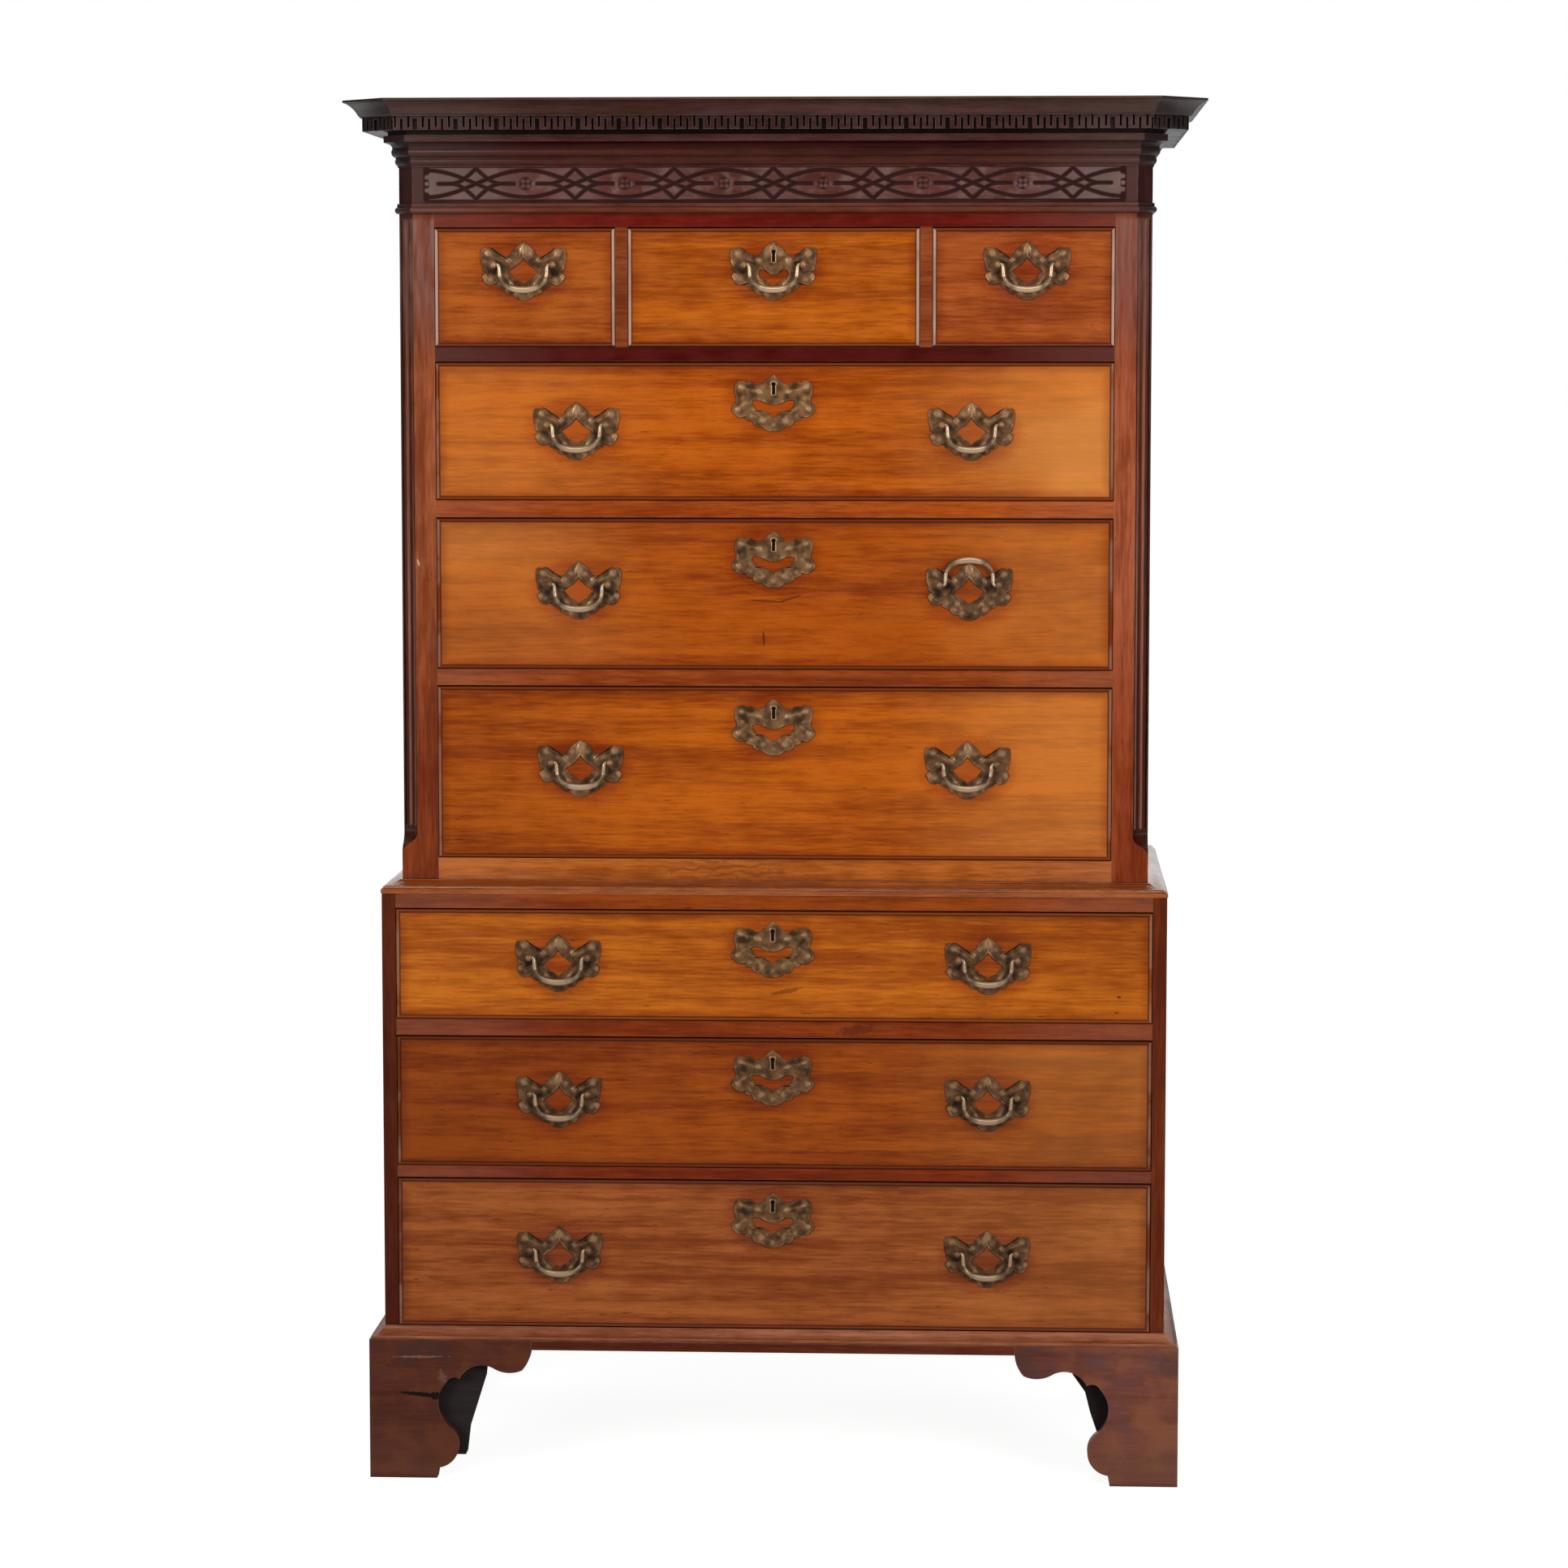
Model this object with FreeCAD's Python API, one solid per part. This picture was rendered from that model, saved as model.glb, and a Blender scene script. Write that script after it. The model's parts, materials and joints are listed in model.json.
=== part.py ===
"""Mahogany chest on chest: six drawers above, three below, canted reeded corners,
a Greek-key dentil cornice over a blind-fret frieze, and bracket feet.

Millimetres.  +Z is up, the drawers face -Y, +X is to the right of someone facing
the drawers.  The origin is on the floor, under the middle of the whole piece.
Every separate piece of wood or metal is its own solid; pieces that stay together
and are made of one material share a STEP file in parts/.
"""

import FreeCAD
import Part
import math
import os

from FreeCAD import Vector

os.makedirs("parts", exist_ok=True)

# ---- driving dimensions ------------------------------------------------------
HEIGHT = 1830.0
UPPER_WIDTH = 991.0          # upper case, over its sides
UPPER_DEPTH = 522.0          # upper case, front face to back face
CASE_STEP = 25.0             # the lower case stands this proud at the front and sides
BASE_OUT = 19.0              # base moulding and feet, proud of the lower case
CORNICE_OUT = 70.0           # crown moulding, proud of the upper case
CANT_LEG = 20.5              # each leg of the 45 degree corner

# heights above the floor
RAIL_BOTTOM = 175.5          # underside of the base rail between the feet
BASE_MOULD_BOTTOM = 188.0
WAIST_BOTTOM = 786.5         # top of the lower case
WAIST_TOP = 803.0            # top edge of the waist moulding
FRIEZE_BOTTOM = 1683.0
FRET_BOTTOM = 1700.5
FRET_TOP = 1743.0
BED_TOP = 1790.0             # soffit of the cornice
KEY_TOP = 1807.5             # top of the Greek key, which stands on the soffit edge

# drawer openings: (bottom, top)
LOWER_ROWS = [(204.0, 405.0), (421.0, 596.5), (618.5, 767.0)]
UPPER_ROWS = [(832.0, 1062.0), (1084.0, 1284.5), (1307.0, 1489.5)]
SHORT_ROW = (1508.5, 1665.0)
UPPER_OPENING_HALF = 447.0
LOWER_OPENING_HALF = 502.0
DIVIDER_INNER = 192.0        # uprights between the short drawers, from the centre
DIVIDER_OUTER = 208.0

# case boards
POST_DEPTH = 45.0            # corner posts and front rails, front to back
UPPER_SIDE_THICK = 18.0
TOP_BOARD_THICK = 18.0
DUST_BOARD_THICK = 9.0
BACK_THICK = 12.0
BACK_REBATE = 9.0            # how far the back boards are let into each side
BACK_BOARD_COUNT = 3
FRIEZE_THICK = 20.0
GUIDE_HEIGHT = 20.0
LIFT_GAP = 0.4               # air between the upper chest and what it stands in

# drawers
SIDE_GAP = 0.9               # drawer to opening, each side
TOP_GAP = 1.2
BOTTOM_GAP = 0.5
FRONT_THICK = 20.0
LINING_THICK = 8.5           # drawer sides and back
DRAWER_BOTTOM_THICK = 7.0
RUNNER_HEIGHT = 7.0
RUNNER_WIDTH = 14.0
RUNNER_SHORT = 2.0           # runners stop this far before the back
SIDE_DROP = 4.0              # drawer sides and back stop below the top of the front
BACK_DROP = 9.0
COCKBEAD_THICK = 4.0
COCKBEAD_PROUD = 2.2
COCKBEAD_DEPTH = 6.5
UPPER_DRAWER_LENGTH = 480.0
LOWER_DRAWER_LENGTH = 505.0
TAIL_LAP = 13.0              # lapped dovetails into the drawer front
TAIL_PITCH = 42.0

# brasses, from the centre of a plate on the line of its two posts
PLATE_THICK = 1.6
POST_SPACING = 39.0          # post to centre
PIVOT_OUT = 8.0              # bail pivot in front of the drawer front
BALL_RADIUS = 5.0
BALL_FLAT = 35.0             # inner face of a post's ball, from the centre
PIN_RADIUS = 2.0
PIN_HOLE_RADIUS = 2.05
PIN_END = 40.5
PIN_END_GAP = 0.5            # air between a pin and the bottom of its bore
SHANK_RADIUS = 2.5
COLLAR_RADIUS = 3.7
COLLAR_LENGTH = 3.0
NUT_WIDTH = 10.0
NUT_THICK = 3.0
SHANK_PAST_NUT = 1.0
BAIL_DROP = 33.0
RAISED_ANGLE = 182.5         # the one bail that is stored turned up against its plate

# ---- planes worked out from the driving dimensions ---------------------------
UPPER_HALF = UPPER_WIDTH / 2
LOWER_HALF = UPPER_HALF + CASE_STEP
BASE_HALF = LOWER_HALF + BASE_OUT
FRONT = CORNICE_OUT - (CORNICE_OUT + UPPER_DEPTH) / 2
BACK = FRONT + UPPER_DEPTH
LOWER_FRONT = FRONT - CASE_STEP
UPPER_BOTTOM = WAIST_BOTTOM + LIFT_GAP
INSIDE_BACK = BACK - BACK_THICK
UPPER_INNER_HALF = UPPER_HALF - UPPER_SIDE_THICK

WOOD_END = 1.0               # how far a cutter runs past the wood it cuts


# ---- small tools -------------------------------------------------------------
def box(x0, x1, y0, y1, z0, z1):
    """Box between two corners."""
    return Part.makeBox(x1 - x0, y1 - y0, z1 - z0, Vector(x0, y0, z0))


def mirrored(shape):
    """The same shape on the other side of the centre plane."""
    return shape.mirror(Vector(0, 0, 0), Vector(1, 0, 0))


def both_sides(shapes):
    """The shapes and their mirror images."""
    return shapes + [mirrored(shape) for shape in shapes]


def bow(start, end, sag):
    """Arc move from start to end whose middle lies sag to the left of the chord."""
    dx = end[0] - start[0]
    dy = end[1] - start[1]
    chord = math.hypot(dx, dy)
    middle = ((start[0] + end[0]) / 2 - dy / chord * sag, (start[1] + end[1]) / 2 + dx / chord * sag)
    return (middle, end)


def face(place, start, moves):
    """Flat face inside a closed outline.

    A move is a point, reached by a straight run, or a pair of points, the middle
    and the end of an arc.  place(u, v) puts an outline point into space.
    """
    edges = []
    here = place(*start)
    for move in moves:
        if isinstance(move[0], tuple):
            there = place(*move[1])
            edges.append(Part.Arc(here, place(*move[0]), there).toShape())
        else:
            there = place(*move)
            edges.append(Part.LineSegment(here, there).toShape())
        here = there
    if here.distanceToPoint(place(*start)) > 1e-6:
        edges.append(Part.LineSegment(here, place(*start)).toShape())
    return Part.Face(Part.Wire(edges))


def plan(z):
    """Outline points as (x, y) at height z."""
    return lambda x, y: Vector(x, y, z)


def elevation(y):
    """Outline points as (x, z) in the plane y."""
    return lambda x, z: Vector(x, y, z)


def side_view(x):
    """Outline points as (y, z) in the plane x."""
    return lambda y, z: Vector(x, y, z)


def write(node, solids):
    """Write one node: a group of separate, checked solids."""
    flat = []
    for shape in solids:
        flat.extend(shape.Solids)
    for solid in flat:
        if not solid.isValid() or solid.Volume <= 0:
            raise ValueError("bad solid in " + node)
    Part.makeCompound(flat).exportStep("parts/" + node + ".step")
    volume = sum(solid.Volume for solid in flat)
    print("%-28s %3d solids %9.0f mm3" % (node, len(flat), volume))


# ---- mouldings mitred round a plan path --------------------------------------
UPPER_PATH = [
    (-UPPER_HALF, BACK),
    (-UPPER_HALF, FRONT + CANT_LEG),
    (-UPPER_HALF + CANT_LEG, FRONT),
    (UPPER_HALF - CANT_LEG, FRONT),
    (UPPER_HALF, FRONT + CANT_LEG),
    (UPPER_HALF, BACK),
]
WAIST_PATH = [(-UPPER_HALF, BACK), (-UPPER_HALF, FRONT), (UPPER_HALF, FRONT), (UPPER_HALF, BACK)]
LOWER_PATH = [
    (-LOWER_HALF, BACK),
    (-LOWER_HALF, LOWER_FRONT),
    (LOWER_HALF, LOWER_FRONT),
    (LOWER_HALF, BACK),
]
MOULD_REACH = 100.0          # stock length past each mitre before it is cut
MITRE_INNER = 20.0           # how far behind the path a mitre plane runs


def runs_of(path):
    """For each run of a path: start, end, direction, outward normal, mitre at start and end.

    A mitre vector is the way a point moves per unit of outward offset.
    """
    directions = []
    for a, b in zip(path, path[1:]):
        length = math.hypot(b[0] - a[0], b[1] - a[1])
        directions.append(Vector((b[0] - a[0]) / length, (b[1] - a[1]) / length, 0))
    normals = [Vector(d.y, -d.x, 0) for d in directions]
    mitres = [normals[0]]
    for n1, n2 in zip(normals, normals[1:]):
        mitres.append((n1 + n2) / (1 + n1.dot(n2)))
    mitres.append(normals[-1])
    runs = []
    for i, direction in enumerate(directions):
        start = Vector(path[i][0], path[i][1], 0)
        end = Vector(path[i + 1][0], path[i + 1][1], 0)
        runs.append((start, end, direction, normals[i], mitres[i], mitres[i + 1]))
    return runs


def mitre_clip(run, outer, z0, z1):
    """Prism between the two mitre planes of a run, from just behind the path to outer."""
    start, end, _, _, mitre_a, mitre_b = run
    corners = [start - mitre_a * MITRE_INNER, end - mitre_b * MITRE_INNER]
    corners += [end + mitre_b * outer, start + mitre_a * outer]
    corners = [corner + Vector(0, 0, z0) for corner in corners]
    wire = Part.makePolygon(corners + [corners[0]])
    return Part.Face(wire).extrude(Vector(0, 0, z1 - z0))


def moulding(path, start, moves, outer, z0, z1):
    """Lengths of moulding round a path.  The profile is drawn as (outward, height)."""
    lengths = []
    for run in runs_of(path):
        a, b, direction, normal, _, _ = run
        origin = a - direction * MOULD_REACH
        profile = face(lambda u, v: origin + normal * u + Vector(0, 0, v), start, moves)
        stock = profile.extrude(direction * ((b - a).Length + 2 * MOULD_REACH))
        lengths.append(stock.common(mitre_clip(run, outer, z0, z1)))
    return lengths


# ---- cornice -----------------------------------------------------------------
FASCIA_OUT = 40.5            # ground behind the Greek key
KEY_OUT = 45.5
KEY_UNIT = 53.3              # one repeat of the key
KEY_FIRST = 11.0             # first slot, from the left mitre
# (height end, place in the unit, width): slots open at the bottom or the top in turn
KEY_SLOTS = [
    ("bottom", 0.0, 3.2),
    ("top", 9.3, 3.0),
    ("bottom", 17.7, 6.5),
    ("top", 28.2, 3.0),
    ("bottom", 36.6, 3.2),
    ("top", 45.0, 3.0),
]
KEY_BAR = 3.2                # wood left at the closed end of a slot
FRAME_THICK = 18.0           # boards that carry the crown moulding
FRAME_TOP = 1825.0
BED_BOTTOM = 1743.5          # lower edge of the bed moulding, just above the fret


def crown():
    """Crown moulding: soffit, fascia behind the key, small bead, cavetto and top fillet."""
    moves = [
        (FASCIA_OUT, BED_TOP),
        (FASCIA_OUT, KEY_TOP),
        (48.5, KEY_TOP),
        (48.5, 1808.5),
        (50.5, 1810.0),
        bow((50.5, 1810.0), (67.5, 1826.5), 2.0),
        (CORNICE_OUT, 1827.0),
        (CORNICE_OUT, HEIGHT),
        (0.0, HEIGHT),
    ]
    bottom = BED_TOP - WOOD_END
    return moulding(UPPER_PATH, (0.0, BED_TOP), moves, CORNICE_OUT + WOOD_END, bottom, HEIGHT + WOOD_END)


def cornice_frame():
    """Softwood boards on edge behind the crown moulding, which is glued to them."""
    moves = [(0.0, BED_TOP), (0.0, FRAME_TOP), (-FRAME_THICK, FRAME_TOP)]
    return moulding(UPPER_PATH, (-FRAME_THICK, BED_TOP), moves, WOOD_END, BED_TOP - WOOD_END, HEIGHT)


def key_slots(length):
    """Centre, width and open end of every slot of a run of this length."""
    slots = []
    unit_start = KEY_FIRST - KEY_UNIT
    while unit_start < length + KEY_UNIT:
        for open_end, place, width in KEY_SLOTS:
            slots.append((unit_start + place, width, open_end))
        unit_start += KEY_UNIT
    return slots


def key_band():
    """Greek-key dentil: a flat strip slotted from below and above in turn, one per run."""
    bands = []
    mitre_growth = math.tan(math.radians(22.5))
    for run in runs_of(UPPER_PATH):
        a, b, direction, normal, _, _ = run
        straight = (b - a).Length
        length = straight + 2 * KEY_OUT * mitre_growth
        slots = key_slots(length)
        low = min(slot[0] for slot in slots) - 4
        high = max(slot[0] for slot in slots) + 4
        bottom = []
        top = []
        for centre, width, open_end in slots:
            left = centre - width / 2
            right = centre + width / 2
            if open_end == "bottom":
                cut = KEY_TOP - KEY_BAR
                bottom += [(left, BED_TOP), (left, cut), (right, cut), (right, BED_TOP)]
            else:
                cut = BED_TOP + KEY_BAR
                top += [(left, KEY_TOP), (left, cut), (right, cut), (right, KEY_TOP)]
        outline = [(low, BED_TOP)] + bottom + [(high, BED_TOP), (high, KEY_TOP)] + top[::-1]
        outline.append((low, KEY_TOP))
        origin = a - direction * KEY_OUT * mitre_growth + normal * FASCIA_OUT
        points = [origin + direction * s + Vector(0, 0, z) for s, z in outline]
        strip = Part.Face(Part.makePolygon(points + [points[0]])).extrude(normal * (KEY_OUT - FASCIA_OUT))
        clip = mitre_clip(run, KEY_OUT + WOOD_END, BED_TOP - WOOD_END, KEY_TOP + WOOD_END)
        bands.append(strip.common(clip))
    return bands


def frieze_mouldings():
    """Bed moulding under the soffit and the bead along the bottom of the frieze."""
    bed_moves = [
        (1.4, BED_BOTTOM),
        (1.4, 1745.5),
        bow((1.4, 1745.5), (4.0, 1754.5), -1.9),
        (4.0, 1756.2),
        bow((4.0, 1756.2), (8.0, 1768.0), -3.2),
        bow((8.0, 1768.0), (16.5, 1776.0), 2.0),
        (19.0, 1776.0),
        (19.0, 1784.8),
        (13.5, 1784.8),
        (13.5, BED_TOP),
        (0.0, BED_TOP),
    ]
    bead_moves = [
        (1.5, FRIEZE_BOTTOM),
        bow((1.5, FRIEZE_BOTTOM), (1.5, 1692.0), -4.0),
        (2.6, 1692.0),
        (2.6, 1696.0),
        (0.0, 1696.0),
    ]
    bed = moulding(UPPER_PATH, (0.0, BED_BOTTOM), bed_moves, CORNICE_OUT, FRET_TOP, BED_TOP + WOOD_END)
    bottom = FRIEZE_BOTTOM - WOOD_END
    bead = moulding(UPPER_PATH, (0.0, FRIEZE_BOTTOM), bead_moves, CORNICE_OUT, bottom, FRET_BOTTOM)
    return bed + bead


# ---- frieze and its blind fret -----------------------------------------------
FRET_THICK = 2.4
FRET_GROOVE_DEPTH = 1.8
FRET_GROOVE = 3.4            # width of the sunk lines
FRET_PITCH = 130.3
FRET_REPEATS = 7
FRET_HALF = FRET_PITCH * FRET_REPEATS / 2 + 4.0
FRET_MID = (FRET_BOTTOM + FRET_TOP) / 2
OVAL_RISE = 17.5             # half height of the long ovals
DIAMOND_RISE = 20.0          # top of the lattice at a crossing
NOTCH_START = 33.0           # where the lattice lines meet, from a crossing
NOTCH_END = 50.0
FLOWER_SINK = 8.5
PETAL_OUT = 4.6
PETAL_RADIUS = 2.7


def frieze():
    """Frieze board between the corner posts."""
    inner = UPPER_HALF - CANT_LEG
    return [box(-inner, inner, FRONT, FRONT + FRIEZE_THICK, FRIEZE_BOTTOM, BED_TOP)]


def groove(centre_line):
    """Cutter for a sunk line of constant width along a list of (x, z) points."""
    left = []
    right = []
    last = len(centre_line) - 1
    for i, (x, z) in enumerate(centre_line):
        before = centre_line[max(i - 1, 0)]
        after = centre_line[min(i + 1, last)]
        dx = after[0] - before[0]
        dz = after[1] - before[1]
        length = math.hypot(dx, dz)
        across = (-dz / length * FRET_GROOVE / 2, dx / length * FRET_GROOVE / 2)
        left.append(Vector(x + across[0], FRONT - FRET_THICK - WOOD_END, z + across[1]))
        right.append(Vector(x - across[0], FRONT - FRET_THICK - WOOD_END, z - across[1]))
    upper = Part.BSplineCurve()
    upper.interpolate(left)
    lower = Part.BSplineCurve()
    lower.interpolate(right[::-1])
    edges = [
        upper.toShape(),
        Part.LineSegment(left[-1], right[-1]).toShape(),
        lower.toShape(),
        Part.LineSegment(right[0], left[0]).toShape(),
    ]
    outline = Part.Face(Part.Wire(edges))
    return outline.extrude(Vector(0, FRET_GROOVE_DEPTH + WOOD_END, 0))


def crossing_places():
    """x of every lattice crossing."""
    first = -(FRET_REPEATS - 1) / 2
    return [(first + i) * FRET_PITCH for i in range(FRET_REPEATS)]


def flower_places():
    """x of the small flower in the middle of every long oval."""
    return [x + FRET_PITCH / 2 for x in crossing_places()[:-1]]


def fret():
    """Blind fret: long pointed ovals and diamonds parted by sunk lines, a flower in each oval."""
    panel = box(-FRET_HALF, FRET_HALF, FRONT - FRET_THICK, FRONT, FRET_BOTTOM, FRET_TOP)
    cutters = []
    for sign in (1, -1):
        for x0 in crossing_places():
            wave = []
            for step in range(-8, 9):
                x = step * FRET_PITCH / 16
                wave.append((x0 + x, FRET_MID - sign * OVAL_RISE * math.sin(math.pi * x / FRET_PITCH)))
            cutters.append(groove(wave))
            for side in (1, -1):
                lattice = []
                for step in range(6):
                    x = NOTCH_START * step / 5
                    rise = DIAMOND_RISE * (1 - math.sin(math.pi / 2 * step / 5))
                    lattice.append((x0 + side * x, FRET_MID + sign * rise))
                lattice.append((x0 + side * NOTCH_END, FRET_MID))
                cutters.append(groove(lattice))
    sunk_from = FRONT - FRET_THICK - WOOD_END
    sunk_depth = FRET_GROOVE_DEPTH + WOOD_END
    for x in flower_places():
        centre = Vector(x, sunk_from, FRET_MID)
        ring = Part.makeCylinder(FLOWER_SINK, sunk_depth, centre, Vector(0, 1, 0))
        petals = [Part.makeCylinder(PETAL_RADIUS * 0.6, sunk_depth, centre, Vector(0, 1, 0))]
        for turn in range(4):
            angle = math.radians(90 * turn)
            offset = Vector(PETAL_OUT * math.cos(angle), 0, PETAL_OUT * math.sin(angle))
            petals.append(Part.makeCylinder(PETAL_RADIUS, sunk_depth, centre + offset, Vector(0, 1, 0)))
        cutters.append(ring.cut(petals[0].fuse(petals[1:])))
    return [panel.cut(cutters)]


# ---- upper case --------------------------------------------------------------
REED_TOP = FRIEZE_BOTTOM - 8.0
REED_BOTTOM = 874.0
STOP_TOP = 868.0             # lower end of the full cant
STOP_BOTTOM = 833.0          # lower end of the lamb's tongue
REED_WIDTH = 11.6
REED_RISE = 2.4


def corner_post():
    """Left corner post: square stock, canted, two reeds on the cant, lamb's-tongue stop."""
    post = box(-UPPER_HALF, -UPPER_OPENING_HALF, FRONT, FRONT + POST_DEPTH, UPPER_BOTTOM, BED_TOP)
    inward = Vector(1, 1, 0).normalize()
    along = Vector(1, -1, 0).normalize()
    corner = Vector(-UPPER_HALF, FRONT, 0)
    full = CANT_LEG / math.sqrt(2)
    half_way = (full / 2, (STOP_TOP + STOP_BOTTOM) / 2)
    tongue = [
        (full, BED_TOP + WOOD_END),
        (full, STOP_TOP),
        bow((full, STOP_TOP), half_way, 2.6),
        bow(half_way, (0.0, STOP_BOTTOM), -2.6),
        (-5.0, STOP_BOTTOM),
    ]
    start_at = corner - along * CANT_LEG
    tongue_start = (-5.0, BED_TOP + WOOD_END)
    cant_cut = face(lambda u, z: start_at + inward * u + Vector(0, 0, z), tongue_start, tongue)
    post = post.cut(cant_cut.extrude(along * 2 * CANT_LEG))
    reeds = [
        (-REED_WIDTH, -REED_RISE),
        bow((-REED_WIDTH, -REED_RISE), (0.0, -REED_RISE), REED_RISE),
        bow((0.0, -REED_RISE), (REED_WIDTH, -REED_RISE), REED_RISE),
        (REED_WIDTH, WOOD_END),
    ]
    middle = corner + inward * full + Vector(0, 0, REED_BOTTOM)
    reed_cut = face(lambda u, v: middle + along * u - inward * v, (-REED_WIDTH, WOOD_END), reeds)
    post = post.cut(reed_cut.extrude(Vector(0, 0, REED_TOP - REED_BOTTOM)))
    frieze_seat = box(-UPPER_HALF + CANT_LEG, 0, FRONT, FRONT + FRIEZE_THICK, FRIEZE_BOTTOM, BED_TOP)
    return post.cut(frieze_seat)


def rebated_side(outer, thick, y0, z0, z1):
    """Left side board, rebated for the back boards."""
    board = box(-outer, -outer + thick, y0, BACK, z0, z1)
    rebate = box(-outer + thick - BACK_REBATE, -outer + thick, INSIDE_BACK, BACK, z0, z1)
    return board.cut(rebate)


def back_boards(inner, z0, z1):
    """Upright boards that close the back, edge to edge."""
    width = 2 * inner / BACK_BOARD_COUNT
    boards = []
    for i in range(BACK_BOARD_COUNT):
        x = -inner + i * width
        boards.append(box(x, x + width, INSIDE_BACK, BACK, z0, z1))
    return boards


def upper_rails():
    """Front rails between the drawer rows and the two uprights between the short drawers."""
    levels = [
        (UPPER_BOTTOM, UPPER_ROWS[0][0]),
        (UPPER_ROWS[0][1], UPPER_ROWS[1][0]),
        (UPPER_ROWS[1][1], UPPER_ROWS[2][0]),
        (UPPER_ROWS[2][1], SHORT_ROW[0]),
        (SHORT_ROW[1], FRIEZE_BOTTOM),
    ]
    half = UPPER_OPENING_HALF
    rails = [box(-half, half, FRONT, FRONT + POST_DEPTH, z0, z1) for z0, z1 in levels]
    upright = box(DIVIDER_INNER, DIVIDER_OUTER, FRONT, FRONT + POST_DEPTH, SHORT_ROW[0], SHORT_ROW[1])
    return rails + both_sides([upright])


def upper_inner_boards():
    """Top and bottom boards, dust boards, drawer guides and the partitions of the short row."""
    inner = UPPER_INNER_HALF
    behind = FRONT + POST_DEPTH
    boards = [
        box(-inner, inner, behind, INSIDE_BACK, BED_TOP - TOP_BOARD_THICK, BED_TOP),
        box(-inner, inner, behind, INSIDE_BACK, UPPER_BOTTOM, UPPER_BOTTOM + TOP_BOARD_THICK),
    ]
    guides = []
    for floor in [row[0] for row in UPPER_ROWS] + [SHORT_ROW[0]]:
        boards.append(box(-inner, inner, behind, INSIDE_BACK, floor - DUST_BOARD_THICK, floor))
        guides.append(box(UPPER_OPENING_HALF, inner, behind, INSIDE_BACK, floor, floor + GUIDE_HEIGHT))
    guides.append(box(DIVIDER_INNER, DIVIDER_OUTER, behind, INSIDE_BACK, SHORT_ROW[0], SHORT_ROW[1]))
    return boards + both_sides(guides)


# ---- lower case --------------------------------------------------------------
def lower_rails():
    """Front rails of the lower case."""
    levels = [
        (RAIL_BOTTOM, LOWER_ROWS[0][0]),
        (LOWER_ROWS[0][1], LOWER_ROWS[1][0]),
        (LOWER_ROWS[1][1], LOWER_ROWS[2][0]),
        (LOWER_ROWS[2][1], WAIST_BOTTOM),
    ]
    half = LOWER_OPENING_HALF
    return [box(-half, half, LOWER_FRONT, LOWER_FRONT + POST_DEPTH, z0, z1) for z0, z1 in levels]


def lower_inner_boards():
    """Top and bottom boards and the dust boards of the lower case."""
    half = LOWER_OPENING_HALF
    behind = LOWER_FRONT + POST_DEPTH
    floor = LOWER_ROWS[0][0]
    boards = [
        box(-half, half, behind, INSIDE_BACK, WAIST_BOTTOM - TOP_BOARD_THICK, WAIST_BOTTOM),
        box(-half, half, behind, INSIDE_BACK, floor - TOP_BOARD_THICK, floor),
    ]
    for row in LOWER_ROWS[1:]:
        boards.append(box(-half, half, behind, INSIDE_BACK, row[0] - DUST_BOARD_THICK, row[0]))
    return boards


def waist_moulding():
    """Moulding on the lower case that hides the joint and holds the upper case in place."""
    inner = LIFT_GAP + 0.1
    nose = CASE_STEP + 1.0
    moves = [
        (nose, WAIST_BOTTOM),
        (nose, 792.0),
        bow((nose, 792.0), (23.0, 795.5), 1.2),
        (21.0, 795.5),
        (21.0, 796.3),
        bow((21.0, 796.3), (3.0, WAIST_TOP - 0.6), 1.6),
        (3.0, WAIST_TOP),
        (inner, WAIST_TOP),
    ]
    bottom = WAIST_BOTTOM - WOOD_END
    return moulding(WAIST_PATH, (inner, WAIST_BOTTOM), moves, nose + WOOD_END, bottom, WAIST_TOP + WOOD_END)


def base_moulding():
    """Ovolo moulding round the bottom of the lower case, above the base boards."""
    top = LOWER_ROWS[0][0]
    moves = [
        (BASE_OUT - 2.5, BASE_MOULD_BOTTOM),
        (BASE_OUT - 2.5, 192.5),
        bow((BASE_OUT - 2.5, 192.5), (3.0, top - 1.5), 3.8),
        (3.0, top),
        (0.0, top),
    ]
    bottom = BASE_MOULD_BOTTOM - WOOD_END
    return moulding(LOWER_PATH, (0.0, BASE_MOULD_BOTTOM), moves, BASE_OUT, bottom, top + WOOD_END)


# ---- base boards and bracket feet --------------------------------------------
FOOT_LENGTH = 217.0          # outer corner to the end of the bracket
BLOCK_THICK = 24.0
BLOCK_BOTTOM = 2.0           # the blocks stop just short of the floor
REAR_BOARD_THICK = 18.0


def foot_face(place):
    """Outline of a bracket foot board: (distance from the outer corner, height)."""
    moves = [
        (90.0, 0.0),
        (92.5, 14.0),
        bow((92.5, 14.0), (110.0, 68.0), -18.0),
        bow((110.0, 68.0), (103.5, 131.0), 14.5),
        bow((103.5, 131.0), (121.0, 135.0), 4.0),
        bow((121.0, 135.0), (169.0, 148.5), 11.5),
        bow((169.0, 148.5), (205.0, 147.5), -4.2),
        bow((205.0, 147.5), (FOOT_LENGTH, RAIL_BOTTOM), -2.6),
        (FOOT_LENGTH, BASE_MOULD_BOTTOM),
        (0.0, BASE_MOULD_BOTTOM),
    ]
    return face(place, (0.0, 0.0), moves)


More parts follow.
